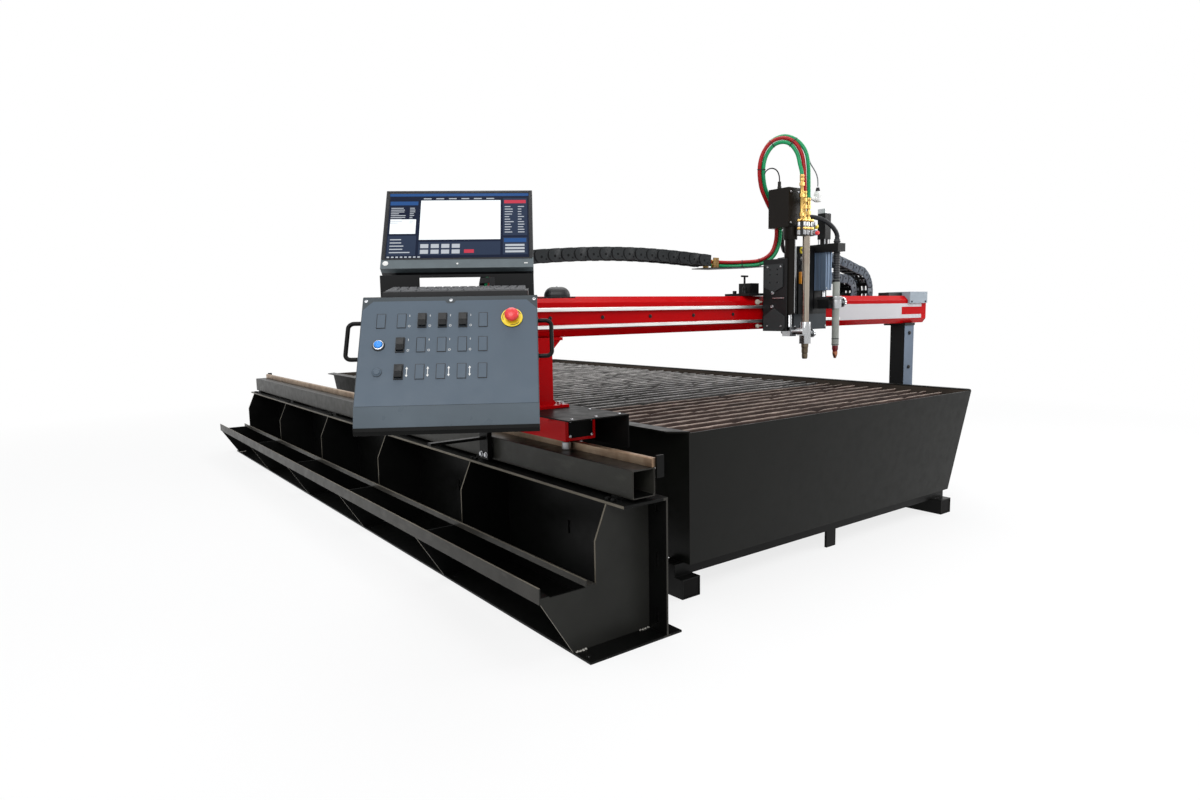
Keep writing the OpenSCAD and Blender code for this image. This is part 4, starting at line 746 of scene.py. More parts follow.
STATION = Zoned("station plate and trim", PLATE_COAT, (
    Zone(TRIM_COAT, (1.3155, 0.48, 1.0), (1.3218, 0.6245, 1.36)),
    Zone(SLATE_COAT, (1.51, 0.58, 1.02), (1.78, 0.5998, 1.105)),
    Zone(BRONZE, (1.18, 0.83, 1.3422), (1.2205, 0.912, 1.4))))
LIFTER = Zoned("plasma lifter and profile", DARK_COAT, (
    Zone(ANODISED, (1.63, 0.49, 1.2225), (1.69, 0.5601, 1.4119)),
    Zone(BOLT_STEEL, (1.63, 0.49, 1.606), (1.69, 0.57, 1.64))))
SLIDE = Zoned("plasma clamp", BOLT_STEEL, (
    Zone(DARK_COAT, (1.635, 0.478, 1.12), (1.685, 0.58, 1.176)),))
FITTINGS = Zoned("torch fittings", BRASS, (
    Zone(DARK_COAT, (1.3, 0.4, 1.47), (1.4425, 0.5, 1.5421)),
    Zone(CHROME, (1.4425, 0.4, 1.47), (1.5, 0.5, 1.5421))))
OXY_BODY = Zoned("oxygen torch body", TORCH_STEEL, (
    Zone(BURNT_STEEL, (1.3, 0.4, 0.8), (1.5, 0.5, 0.964)),))
PLASMA_BODY = Zoned("plasma torch body", TORCH_GREY, (
    Zone(BLACK_RUBBER, (1.6, 0.4, 1.2752), (1.72, 0.5, 1.5)),
    Zone(RED_RING, (1.6, 0.4, 0.86), (1.72, 0.5, 0.944)),
    Zone(COPPER, (1.6, 0.4, 0.86), (1.72, 0.5, 0.914))))
PANEL = Zoned("console panel and lip", PANEL_COAT, (
    Zone(CONSOLE_LIP_REFLECTION, facing=("Z", -0.3, 0.4)),))
SCREEN_CASE = Zoned("monitor case and chin", BEZEL_PLASTIC, (
    Zone(CHIN_PLASTIC, (-FAR, -FAR, 1.27), (FAR, FAR, 1.3155)),))


def placed(name: str, data: bpy.types.ID) -> bpy.types.Object:
    """Makes an object and puts it in the scene.

    Args:
        name: The object's name.
        data: Its mesh, camera or lamp.

    Returns:
        The object.
    """
    thing = bpy.data.objects.new(name, data)
    bpy.context.scene.collection.objects.link(thing)
    return thing


class Maker:
    """Collects simple solids into one mesh piece."""

    def __init__(self, name: str) -> None:
        """Starts an empty piece.

        Args:
            name: The piece's name.
        """
        self.name = name
        self.mesh = bmesh.new()

    def block(self, low: Point, high: Point, place: Matrix = HERE) -> None:
        """Adds a box.

        Args:
            low: Lowest corner.
            high: Highest corner.
            place: Frame of the corners.
        """
        self.prism([(low[0], low[1]), (high[0], low[1]), (high[0], high[1]), (low[0], high[1])],
                   low[2], high[2], place)

    def prism(self, outline: Outline, low: float, high: float, place: Matrix = HERE,
              inset: Outline | None = None) -> None:
        """Adds a prism over a closed outline.

        Args:
            outline: Corners in the frame's X and Y.
            low: Start along the frame's Z.
            high: End along the frame's Z.
            place: Frame of the outline.
            inset: Corners of the far end, where they differ.
        """
        ends = ((outline, low), (inset or outline, high))
        rings = [[self.mesh.verts.new(place @ Vector((x, y, z))) for x, y in corners] for corners, z in ends]
        self.mesh.faces.new(list(reversed(rings[0])))
        self.mesh.faces.new(rings[1])
        self._walls(rings[0], rings[1])

    def _walls(self, first: list[bmesh.types.BMVert], second: list[bmesh.types.BMVert]) -> None:
        """Joins two rings of points with faces.

        Args:
            first: Points of one ring.
            second: As many points of the next ring.
        """
        n = len(first)
        for i in range(n):
            self.mesh.faces.new((first[i], first[(i + 1) % n], second[(i + 1) % n], second[i]))

    def lathe(self, profile: Outline, place: Matrix = HERE, sides: int = 28) -> None:
        """Adds a turned solid.

        Args:
            profile: Radius and height pairs, from the bottom's rim to the top's.
            place: Frame whose Z is the axis.
            sides: Number of sides.
        """
        turns = [WHOLE_TURN * i / sides for i in range(sides)]
        rings = [[self.mesh.verts.new(place @ Vector((r * math.cos(a), r * math.sin(a), z))) for a in turns]
                 for r, z in profile]
        for first, second in zip(rings, rings[1:]):
            self._walls(first, second)
        self.mesh.faces.new(list(reversed(rings[0])))
        self.mesh.faces.new(rings[-1])

    def ring(self, profile: Outline, place: Matrix = HERE, sides: int = 28) -> None:
        """Adds a turned solid with a hole: the closed profile goes round the axis.

        Args:
            profile: Radius and height pairs of a closed outline.
            place: Frame whose Z is the axis.
            sides: Number of sides.
        """
        rings = [[self.mesh.verts.new(place @ Vector((r * math.cos(a), r * math.sin(a), z)))
                  for r, z in profile]
                 for a in (WHOLE_TURN * i / sides for i in range(sides))]
        for i in range(sides):
            self._walls(rings[(i + 1) % sides], rings[i])

    def tube(self, path: list[Vector], radius: float, sides: int = 14, closed: bool = False) -> None:
        """Adds a round tube along a path.

        Args:
            path: Points along the middle.
            radius: Radius of the tube.
            sides: Number of sides.
            closed: Whether the path ends where it starts.
        """
        rings = []
        across = None
        count = len(path)
        for i, at in enumerate(path):
            after = path[(i + 1) % count] if closed else path[min(i + 1, count - 1)]
            before = path[i - 1] if closed else path[max(i - 1, 0)]
            way = (after - before).normalized()
            across = way.orthogonal() if across is None else across
            across = (across - way * across.dot(way)).normalized()
            other = way.cross(across)
            rings.append([self.mesh.verts.new(at + radius * (math.cos(a) * across + math.sin(a) * other))
                          for a in (WHOLE_TURN * k / sides for k in range(sides))])
        for first, second in zip(rings, rings[1:]):
            self._walls(first, second)
        if closed:
            self._walls(rings[-1], rings[0])
        else:
            self.mesh.faces.new(list(reversed(rings[0])))
            self.mesh.faces.new(rings[-1])

    def screw(self, at: Point, towards: Point, radius: float) -> None:
        """Adds a button-head socket screw.

        Args:
            at: Middle of its seat.
            towards: The way its head looks.
            radius: Radius of the head.
        """
        r, socket = radius, 0.42 * radius
        place = turned(at, towards)
        self.ring([(socket, 0.12 * r), (r, 0.0), (r, 0.18 * r), (0.8 * r, 0.5 * r), (socket, 0.58 * r)],
                  place, 18)
        self.lathe([(socket, 0.0), (socket, 0.12 * r)], place, 6)

    def bolt(self, at: Point, towards: Point, radius: float) -> None:
        """Adds a hexagon bolt head on a washer.

        Args:
            at: Middle of its seat.
            towards: The way its head looks.
            radius: Radius to the head's corners.
        """
        r = radius
        place = turned(at, towards)
        self.lathe([(1.25 * r, 0.0), (1.25 * r, 0.14 * r), (1.18 * r, 0.2 * r)], place, 24)
        self.lathe([(r, 0.2 * r), (r, 0.75 * r), (0.86 * r, 0.85 * r)], place, 6)

    def done(self, finish: Finish, slot: str, bevel: float = 0.0, smooth: bool = True) -> bpy.types.Object:
        """Turns the solids into an object.

        Args:
            finish: The piece's finish.
            slot: Not used.
            bevel: Width of the rounded edges.
            smooth: Whether curved faces shade smoothly.

        Returns:
            The new object, in place.
        """
        bmesh.ops.recalc_face_normals(self.mesh, faces=self.mesh.faces)
        data = bpy.data.meshes.new(self.name)
        self.mesh.to_mesh(data)
        self.mesh.free()
        piece = placed(self.name, data)
        data.materials.append(finish.material())
        if smooth:
            for face in data.polygons:
                face.use_smooth = True
            data.set_sharp_from_angle(angle=SMOOTH_ANGLE)
        soften(piece, bevel)
        LOG.info("made %s", self.name)
        return piece

    def on(self, body: str, finish: Finish, slot: str, bevel: float = 0.0,
           smooth: bool = True) -> bpy.types.Object:
        """Turns the solids into an object that rides on a body.

        Args:
            body: The body's name.
            finish: The piece's finish.
            slot: Not used; passed on to done.
            bevel: Width of the rounded edges.
            smooth: Whether curved faces shade smoothly.

        Returns:
            The new object.
        """
        piece = self.done(finish, slot, bevel, smooth)
        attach(piece, body)
        return piece


def soften(piece: bpy.types.Object, bevel: float) -> None:
    """Rounds a piece's edges.

    Args:
        piece: The object.
        bevel: Width of the rounding, or 0 for none.
    """
    if bevel > 0:
        rounding = piece.modifiers.new("edges", "BEVEL")
        rounding.width = bevel
        rounding.segments = BEVEL_STEPS
        rounding.limit_method = "ANGLE"
        rounding.angle_limit = BEVEL_ANGLE
        rounding.harden_normals = False


def curve_through(points: list[Point], steps: int) -> list[Vector]:
    """Makes a smooth line through points.

    Args:
        points: The points in order.
        steps: New points for each stretch.

    Returns:
        The denser line.
    """
    p = [Vector(q) for q in points]
    line = []
    for i in range(len(p) - 1):
        a, b, c, d = p[max(i - 1, 0)], p[i], p[i + 1], p[min(i + 2, len(p) - 1)]
        for k in range(steps):
            t = k / steps
            line.append(0.5 * (2 * b + (c - a) * t + (2 * a - 5 * b + 4 * c - d) * t * t
                               + (3 * b - a - 3 * c + d) * t ** 3))
    return line + [p[-1]]


def turned(at: Point, towards: Point) -> Matrix:
    """Gives a frame at a point whose Z looks along a direction.

    Args:
        at: The frame's origin.
        towards: The direction of its Z.

    Returns:
        The frame as a matrix.
    """
    return Matrix.Translation(at) @ Vector(towards).to_track_quat("Z", "Y").to_matrix().to_4x4()


@dataclass
class Studio:
    """The white studio: camera, floor, world and lamps."""

    eye: Point = (-1.6114, -1.8916, 1.1366)
    right: Point = (0.79609, -0.60495, -0.01660)
    up: Point = (0.08370, 0.08289, 0.99304)
    look: Point = (0.59936, 0.79194, -0.11662)
    lens: float = 22.72
    sensor: float = 36.0
    clip_end: float = 200.0
    fill_colour: Rgba = (0.96, 0.98, 1.0, 1.0)
    fill_strength: float = 0.55
    floor_half: float = 60.0
    floor_drop: float = 0.0005
    floor_grey: Rgba = (0.8, 0.8, 0.8, 1.0)
    floor_middle: Point = (1.2, 2.2, 0.0)
    floor_white: Pair = (0.8, 1.0)
    floor_fade: Pair = (2.5, 7.0)

    def build(self) -> None:
        """Makes the camera, the world, the floor and the lamps."""
        self.camera()
        self.world()
        self.floor()
        self.lamp("key lamp", (-3.5, -3.0, 4.6), (1.2, 1.2, 0.5), 3.2, 190.0)
        self.lamp("right lamp", (5.6, -1.6, 3.4), (1.2, 1.6, 0.6), 3.0, 150.0)
        self.lamp("top lamp", (1.2, 2.2, 5.4), (1.2, 2.0, 0.0), 5.0, 210.0)

    def camera(self) -> None:
        """Places the camera as in the photograph."""
        data = bpy.data.cameras.new("camera")
        data.lens = self.lens
        data.sensor_width = self.sensor
        data.sensor_fit = "HORIZONTAL"
        data.clip_end = self.clip_end
        camera = placed("camera", data)
        back = tuple(-v for v in self.look)
        rotation = Matrix((self.right, self.up, back)).transposed().to_4x4()
        camera.matrix_world = Matrix.Translation(self.eye) @ rotation
        bpy.context.scene.camera = camera

    def world(self) -> None:
        """Makes a white backdrop and an even grey light."""
        world = bpy.data.worlds.new("studio")
        bpy.context.scene.world = world
        world.use_nodes = True
        tree = Tree(world.node_tree)
        white = tree.add("ShaderNodeBackground", Color=WHITE)
        fill = tree.add("ShaderNodeBackground", Color=self.fill_colour, Strength=self.fill_strength)
        tree.surface("ShaderNodeOutputWorld", tree.seen(), fill.outputs["Background"],
                     white.outputs["Background"])

    def floor(self) -> None:
        """Makes a pale floor that keeps a soft shadow near the object and is white far from it."""
        data = bpy.data.meshes.new("floor")
        h = self.floor_half
        data.from_pydata([(-h, -h, 0), (h, -h, 0), (h, h, 0), (-h, h, 0)], [], [(0, 1, 2, 3)])
        floor = placed("floor", data)
        floor.location.z = -self.floor_drop
        material = bpy.data.materials.new("pale floor")
        material.use_nodes = True
        tree = Tree(material.node_tree)
        matt = tree.add("ShaderNodeBsdfDiffuse", Color=self.floor_grey)
        white = tree.add("ShaderNodeEmission", Color=WHITE)
        coords = tree.add("ShaderNodeTexCoord")
        reach = tree.add("ShaderNodeVectorMath")
        reach.operation = "DISTANCE"
        reach.inputs[1].default_value = self.floor_middle
        tree.give(reach.inputs[0], coords.outputs["Object"])
        share = tree.span(reach.outputs["Value"], *self.floor_white, *self.floor_fade)
        tree.surface("ShaderNodeOutputMaterial", tree.math("MULTIPLY", tree.seen(), share),
                     matt.outputs["BSDF"], white.outputs["Emission"])
        data.materials.append(material)

    def lamp(self, name: str, at: Point, towards: Point, size: float, watts: float) -> None:
        """Adds a soft square lamp.

        Args:
            name: The lamp's name.
            at: Its place.
            towards: The point it shines at.
            size: Side of its square.
            watts: Its power.
        """
        data = bpy.data.lights.new(name, "AREA")
        data.size = size
        data.energy = watts
        lamp = placed(name, data)
        lamp.location = at
        lamp.rotation_euler = (Vector(towards) - Vector(at)).to_track_quat("-Z", "Y").to_euler()


@dataclass
class Dresser:
    """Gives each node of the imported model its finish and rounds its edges."""

    nodes: dict[str, bpy.types.Object]
    finishes: dict[str, tuple[Finish, float]] = field(default_factory=dict)
    folded: tuple[str, ...] = ("console_panel", "console_box", "tank_shell", "chain_tray", "end_cover",
                               "monitor_bracket")

    def __post_init__(self) -> None:
        """Lists the finish and the edge rounding of each node."""
        stand = ("table_skids", "chain_tray", "rail_fittings", "console_handles")
        dark = ("drive_motor", "console_arm", "console_post", "clamp_block", "clamp_handle", "console_box",
                "monitor_bracket", "bearing_blocks", "slat_combs")
        gears = ("gear_rack", "drive_pinion", "load_wheel_front", "load_wheel_rear", "guide_roller_left",
                 "guide_roller_right", "right_wheel_front", "right_wheel_rear")
        plastics = ("switch_plates", "keyboard_mouse")
        rockers = tuple(f"rocker_{i}" for i in range(1, 6))
        groups = ((stand, STAND_BLACK, 0.0012), (dark, DARK_COAT, 0.001), (gears, GEAR_STEEL, 0.0),
                  (plastics, BLACK_PLASTIC, 0.0006), (rockers, ROCKER_PLASTIC, 0.0006))
        for names, finish, edge in groups:
            self.finishes.update({name: (finish, edge) for name in names})
        self.finishes.update({
            "rail_stand": (STAND, 0.0016), "stand_ribs": (RIBS, 0.0012), "rail_tube": (TUBE, 0.004),
            "tank_shell": (TANK, 0.0016), "slave_rail": (SLAVE, 0.0012), "rail_bar": (RAIL_STEEL, 0.0008),
            "carriage_truck": (TRUCK, 0.0015), "carriage_column": (COLUMN, 0.0015),
            "cross_beam": (RED_COAT, 0.0015), "carriage_cover": (COVER, 0.001),
            "beam_rails": (BEAM_RAIL, 0.0006), "end_cover": (END_COVER, 0.001), "right_post": (POST, 0.001),
            "console_panel": (PANEL, 0.0015), "monitor": (SCREEN_CASE, 0.002),
            "estop_button": (RED_PLASTIC, 0.0), "start_button": (BLUE_PLASTIC, 0.0),
            "torch_plate": (STATION, 0.0008), "oxy_lifter": (LIFTER_COAT, 0.001),
            "plasma_lifter": (LIFTER, 0.0008), "torch_holder": (CHROME, 0.0012),
            "holder_knob": (CHROME, 0.0006), "oxy_torch": (OXY_BODY, 0.0),
            "torch_fittings": (FITTINGS, 0.0006), "plasma_slide": (SLIDE, 0.001),
            "plasma_torch": (PLASMA_BODY, 0.0), "support_slats": (SCORCHED, 0.0),
            "hose_chain": (HOSE_LINK, 0.0), "cable_chain": (LIT_CABLE_LINK, 0.0),
            "oxygen_hose": (GREEN_RUBBER, 0.0), "fuel_hose": (RED_RUBBER, 0.0),
            "plasma_lead": (BLACK_RUBBER, 0.0)})

    def build(self) -> None:
        """Dresses every node."""
        for name, node in self.nodes.items():
            finish, edge = self.finishes[name]
            node.data.materials.clear()
            node.data.materials.append(finish.material())
            weld = node.modifiers.new("weld", "WELD")
            weld.merge_threshold = WELD_GAP
            soften(node, edge)
            if name in self.folded:
                folds = node.modifiers.new("folds", "EDGE_SPLIT")
                folds.split_angle = FOLD_ANGLE
            LOG.info("dressed %s", name)


@dataclass
class RailStand:
    """Trim of the rail stand: weld beads at the ribs' feet, and dark plates as painted shade behind the web's
    slots.
    """

    web_x: float = 0.100
    rib_y: float = 0.087
    rib_pitch: float = 0.9756
    ribs: int = 6
    base_z: float = 0.008
    end_y: float = 0.0365
    end_slots: tuple[float, ...] = (0.036, 0.240, 0.440)
    bay_slot: float = 0.240
    feet: tuple[Pair, ...] = ((-0.230, -0.192), (0.046, 0.088))
    bead_r: float = 0.0046
    bead_pitch: float = 0.0042
    bead_way: Point = (0.3, -0.45, 1)

    def build(self) -> None:
        """Makes the dark plates with their bolts, as painted shade behind the slots, and the beads."""
        # The dark plates stand in for the shade seen through the slots.
        plates = Maker("slot_shade_plates")
        slots = [(self.end_y, z) for z in self.end_slots]
        slots += [(self.rib_y + (i + 0.5) * self.rib_pitch, self.bay_slot) for i in range(self.ribs - 1)]
        for y, z in slots:
            plates.block((self.web_x, y - 0.014, z - 0.012), (self.web_x + 0.004, y + 0.028, z + 0.059))
            plates.bolt((self.web_x, y + 0.007, z + 0.030), LEFT, 0.0058)
        plates.on("base", GREY_SHEET, "black_coat", 0.0006)
        beads = Maker("rib_welds")
        for i in (0, self.ribs - 1):
            for x0, x1 in self.feet:
                self.bead(beads, x0, x1, self.rib_y + i * self.rib_pitch - 0.0015)
        beads.on("base", WELD_STEEL, "dark_steel")

    def bead(self, maker: Maker, x0: float, x1: float, y: float) -> None:
        """Adds a weld bead along a rib's foot.

        Args:
            maker: The piece that takes it.
            x0: Start across the stand.
            x1: End across the stand.
            y: Place along the rails.
        """
        for k in range(round((x1 - x0) / self.bead_pitch) + 1):
            r = self.bead_r + 0.0016 * math.sin(2.3 * k)
            at = (x0 + k * self.bead_pitch, y + 0.002 * math.sin(1.7 * k), self.base_z)
            maker.lathe([(r, 0.0), (0.86 * r, 0.5 * r), (0.45 * r, 0.85 * r)], turned(at, self.bead_way), 10)


@dataclass
class CuttingTable:
    """The slats with flame-cut edges and the skids' end caps."""

    left: float = 0.3697
    right: float = 2.4193
    first_y: float = 0.203
    pitch: float = 0.092
    count: int = 43
    thickness: float = 0.006
    low: float = 0.560
    high: float = 0.660
    points: int = 84
    wear_seed: int = 11
    wear: float = 0.0012
    nick_share: float = 0.035
    nick: Pair = (0.002, 0.007)
    skids_x: Pair = (0.369, 2.301)
    caps_y: tuple[Pair, ...] = ((0.211, 0.215), (4.153, 4.157))
    cap_low: float = 0.0052
    cap_right: float = 0.0918
    cap_top: float = 0.0748

    def build(self) -> None:
        """Makes the slats and the caps in the skids' ends."""
        caps = Maker("skid_caps")
        for x in self.skids_x:
            for y0, y1 in self.caps_y:
                caps.block((x + self.cap_low, y0, self.cap_low), (x + self.cap_right, y1, self.cap_top))
        caps.on("base", GREY_SHEET, "dark_steel", 0.0008)
        maker = Maker("burnt_slats")
        rng = random.Random(self.wear_seed)
        for i in range(self.count):
            self.slat(maker, rng, self.first_y + i * self.pitch)
        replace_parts(maker.on("base", SCORCHED, "scorched_steel", 0.0, False), "support_slats")

    def slat(self, maker: Maker, rng: random.Random, y: float) -> None:
        """Adds one slat whose top edge is nicked by old cuts.

        Args:
            maker: The piece that takes the slat.
            rng: The source of its wear.
            y: Middle of the slat along the rails.
        """
        step = (self.right - self.left) / self.points
        top = []
        depth = 0.0
        for k in range(self.points + 1):
            depth = 0.5 * depth + rng.uniform(0.0, self.wear)
            if rng.random() < self.nick_share:
                depth += rng.uniform(*self.nick)
            top.append((self.left + k * step, self.high - depth))
        outline = [(self.left, self.low), (self.right, self.low)] + list(reversed(top))
        half = self.thickness / 2
        place = Matrix.Translation((0, y + half, 0)) @ Matrix.Rotation(QUARTER_TURN, 4, "X")
        maker.prism(outline, 0.0, self.thickness, place)


@dataclass
class DragChain:
    """A drag chain of lapped links, filled with hoses or cables."""

    name: str
    node: str
    finish: Finish
    filling: tuple[Finish, ...]
    end: Pair
    loop: Pair
    radius: float
    fixed_x: float
    side: int
    pitch: float
    height: float
    bow: float
    y: float = 0.825
    width: float = 0.095
    plate: float = 0.006
    nose: float = 0.37
    lap: float = 0.1
    rim: float = 0.0012
    # How far the painted shade of the gap shows past a plate's round end.
    gap: float = 0.0072

    def pins(self) -> tuple[list[Vector], list[Vector], list[Vector]]:
        """Gives the chain's pins in X and Z.

        Returns:
            The pins of the upper run, of the loop and of the lower run.
        """
        (end_x, end_z), (loop_x, loop_z) = self.end, self.loop
        rise, low = loop_z + self.radius - end_z, loop_z - self.radius
        upper = round(abs(end_x - loop_x) / self.pitch)
        bend = round(math.pi * self.radius / self.pitch)
        lower = round(abs(self.fixed_x - loop_x) / self.pitch)
        first = [Vector((end_x + (loop_x - end_x) * t, end_z + rise * t + self.bow * math.sin(math.pi * t)))
                 for t in (i / upper for i in range(upper + 1))]
        around = [Vector((loop_x + self.side * self.radius * math.sin(a), loop_z + self.radius * math.cos(a)))
                  for a in (math.pi * i / bend for i in range(bend + 1))]
        last = [Vector((loop_x + (self.fixed_x - loop_x) * i / lower, low)) for i in range(lower + 1)]
        return first, around, last

    def outline(self, n: float, nose: float, inset: float = 0.0) -> Outline:
        """Gives a side plate's outline: square at its tail and round at its nose.

        Args:
            n: Length of the link.
            nose: Length of the round end.
            inset: How far the outline is drawn in.

        Returns:
            The corners in order.
        """
        r = self.height / 2 - inset
        tail, cut = 0.17 * n + inset, 0.05 * n
        arc = [math.pi * (k / 14 - 0.5) for k in range(15)]
        return ([(tail, cut - r), (tail + cut, -r)]
                + [(0.68 * n + (nose - inset) * math.cos(a), r * math.sin(a)) for a in arc]
                + [(tail + cut, r), (tail, r - cut)])

    def link(self, plates: Maker, shade_and_bars: Maker, p: Vector, q: Vector, odd: bool) -> None:
        """Adds one link between two pins.

        Args:
            plates: The piece that takes the side plates.
            shade_and_bars: The piece that takes the cross bars, and the gaps and pin holes in dark painted
                shade.
            p: First pin.
            q: Second pin.
            odd: Whether it is an odd link, whose plates lie a little deeper.
        """
        way = q - p
        n = way.length
        r = self.height / 2
        place = Matrix.Translation((p.x, self.y, p.y)) @ Matrix.Rotation(-math.atan2(way.y, way.x), 4, "Y")
        face = place @ Matrix.Rotation(QUARTER_TURN, 4, "X")
        shift = 0.0004 if odd else 0.0
        left, right, high = -self.lap * n, (1 + self.lap) * n, r - 0.001
        tongue = [(left, -high), (right, -high), (right, high), (left, high)]
        outer, nose = self.outline(n, self.nose * n), self.nose * n
        for y, s in ((0.0, -1.0), (self.width, 1.0)):
            skin, edge, slit, back, root, inner = (
                -y + s * d for d in (shift, self.rim, 0.0010 + shift, 0.0030, 0.0018 + shift, self.plate))
            plates.prism(self.outline(n, nose, self.rim), skin, edge, face, outer)
            plates.prism(outer, edge, back, face)
            # A dark outline a little larger than the plate, below it: painted shade in the gap between links.
            shade_and_bars.prism(self.outline(n, nose + self.gap, 0.0004), slit, back, face)
            plates.prism(tongue, root, inner, face)
            # Dark pin holes: painted shade in the hollows.
            for x, z, size in ((0.6, 0.12, 0.0058), (0.27, 0.5, 0.004)):
                hole = face @ Matrix.Translation((x * n, z * r, 0))
                shade_and_bars.lathe([(size, skin - s * 0.0003), (size, edge)], hole, 14)
        for z in (-r, r - 0.004):
            shade_and_bars.block((0.38 * n, self.plate, z), (0.72 * n, self.width - self.plate, z + 0.004), place)

    def build(self) -> None:
        """Makes the upper run, the loop and the lower run with what lies in them, and the anchor."""
        mid_y = self.y + self.width / 2
        far = 2 * self.loop[0]
        spans = (((far - self.end[0], mid_y, 1.3), (self.end[0], mid_y, 1.3)),
                 ((0.0, mid_y - 1000.0, 1.2), (0.0, mid_y + 1000.0, 1.2)),
                 ((self.fixed_x, mid_y, 1.1), (far - self.fixed_x, mid_y, 1.1)))
        for part, pins, (start, end) in zip(("upper", "loop", "lower"), self.pins(), spans):
            plates, shade_and_bars = Maker(f"{self.name}_{part}"), Maker(f"{self.name}_{part}_core")
            for i, (p, q) in enumerate(zip(pins, pins[1:])):
                self.link(plates, shade_and_bars, p, q, i % 2 == 1)
            pieces = [plates.done(self.finish, "chain_plastic"), shade_and_bars.done(LINK_SHADE_AND_BARS, "chain_plastic")]
            pieces += [self.strand(part, k, pins) for k in range(len(self.filling))]
            for piece in pieces:
                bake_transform(piece)
                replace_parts(piece, self.node)
        self.anchor()

    def strand(self, part: str, k: int, pins: list[Vector]) -> bpy.types.Object:
        """Makes one hose or cable inside a stretch of the chain.

        Args:
            part: Name of the stretch.
            k: Number of the hose or cable.
            pins: The stretch's pins.

        Returns:
            The piece.
        """
        count = len(self.filling)
        step = (self.width - 2 * self.plate) / count
        y = self.y + self.plate + (k + 0.5) * step
        maker = Maker(f"{self.name}_{part}_strand_{k + 1}")
        maker.tube(curve_through([(p.x, y, p.y) for p in pins], 4), min(0.009, step / 2 - 0.001), 12)
        return maker.done(self.filling[k], "black_rubber")

    def anchor(self) -> None:
        """Makes the bracket that holds the chain's fixed end on its tray."""
        z = self.loop[1] - self.radius
        r = self.height / 2
        x0, x1 = sorted((self.fixed_x, self.fixed_x - self.side * 0.018))
        maker = Maker(f"{self.name}_anchor")
        maker.block((x0, self.y + 0.008, z - r + 0.004), (x1, self.y + self.width - 0.008, z + r - 0.006))
        f0, f1 = sorted((self.fixed_x, self.fixed_x - self.side * 0.055))
        maker.block((f0, self.y + 0.012, z - r + 0.001), (f1, self.y + self.width - 0.012, z - r + 0.005))
        for dy in (0.028, self.width - 0.028):
            maker.bolt((self.fixed_x - self.side * 0.04, self.y + dy, z - r + 0.005), UP, 0.006)
        maker.on("gantry", DARK_COAT, "black_coat", 0.0006)


def chains() -> list[DragChain]:
    """Gives the three drag chains.

    Returns:
        The hose chain and the two nested cable chains.
    """
    hoses = (GREEN_RUBBER, RED_RUBBER, GREEN_RUBBER)
    cables = (BLACK_RUBBER, GREY_CABLE, BLACK_RUBBER)
    return [DragChain("hose_run", "hose_chain", HOSE_LINK, hoses, end=(1.150, 1.378), loop=(0.054, 1.232),
                      radius=0.130, fixed_x=0.700, side=-1, pitch=0.067, height=0.058, bow=0.026),
            DragChain("cable_run", "cable_chain", LIT_CABLE_LINK, cables, end=(1.835, 1.440), loop=(2.402, 1.229),
                      radius=0.130, fixed_x=1.500, side=1, pitch=0.055, height=0.052, bow=0.026),
            DragChain("cable_run_inner", "cable_chain", LIT_CABLE_LINK, cables, end=(1.800, 1.320),
                      loop=(2.298, 1.229), radius=0.070, fixed_x=1.700, side=1, pitch=0.055, height=0.052,
                      bow=0.008)]


@dataclass
class Hose:
    """A hose, lead or thin cable of the torch station."""

    name: str
    route: list[Point]
    diameter: float
    finish: Finish
    slot: str
    body: str
    node: str = ""
    still_y: float = 0.0
    moved_y: float = 0.0
    far_end: str = "object"

    def build(self, *carried: bpy.types.Object) -> None:
        """Args:
            carried: Not used.
        """
        line = curve_through(self.route, 8)
        maker = Maker(self.name)
        maker.tube(line, self.diameter / 2, 18)
        piece = maker.done(self.finish, self.slot)
        if self.node:
            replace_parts(piece, self.node)
            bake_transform(piece)
        else:
            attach(piece, self.body)


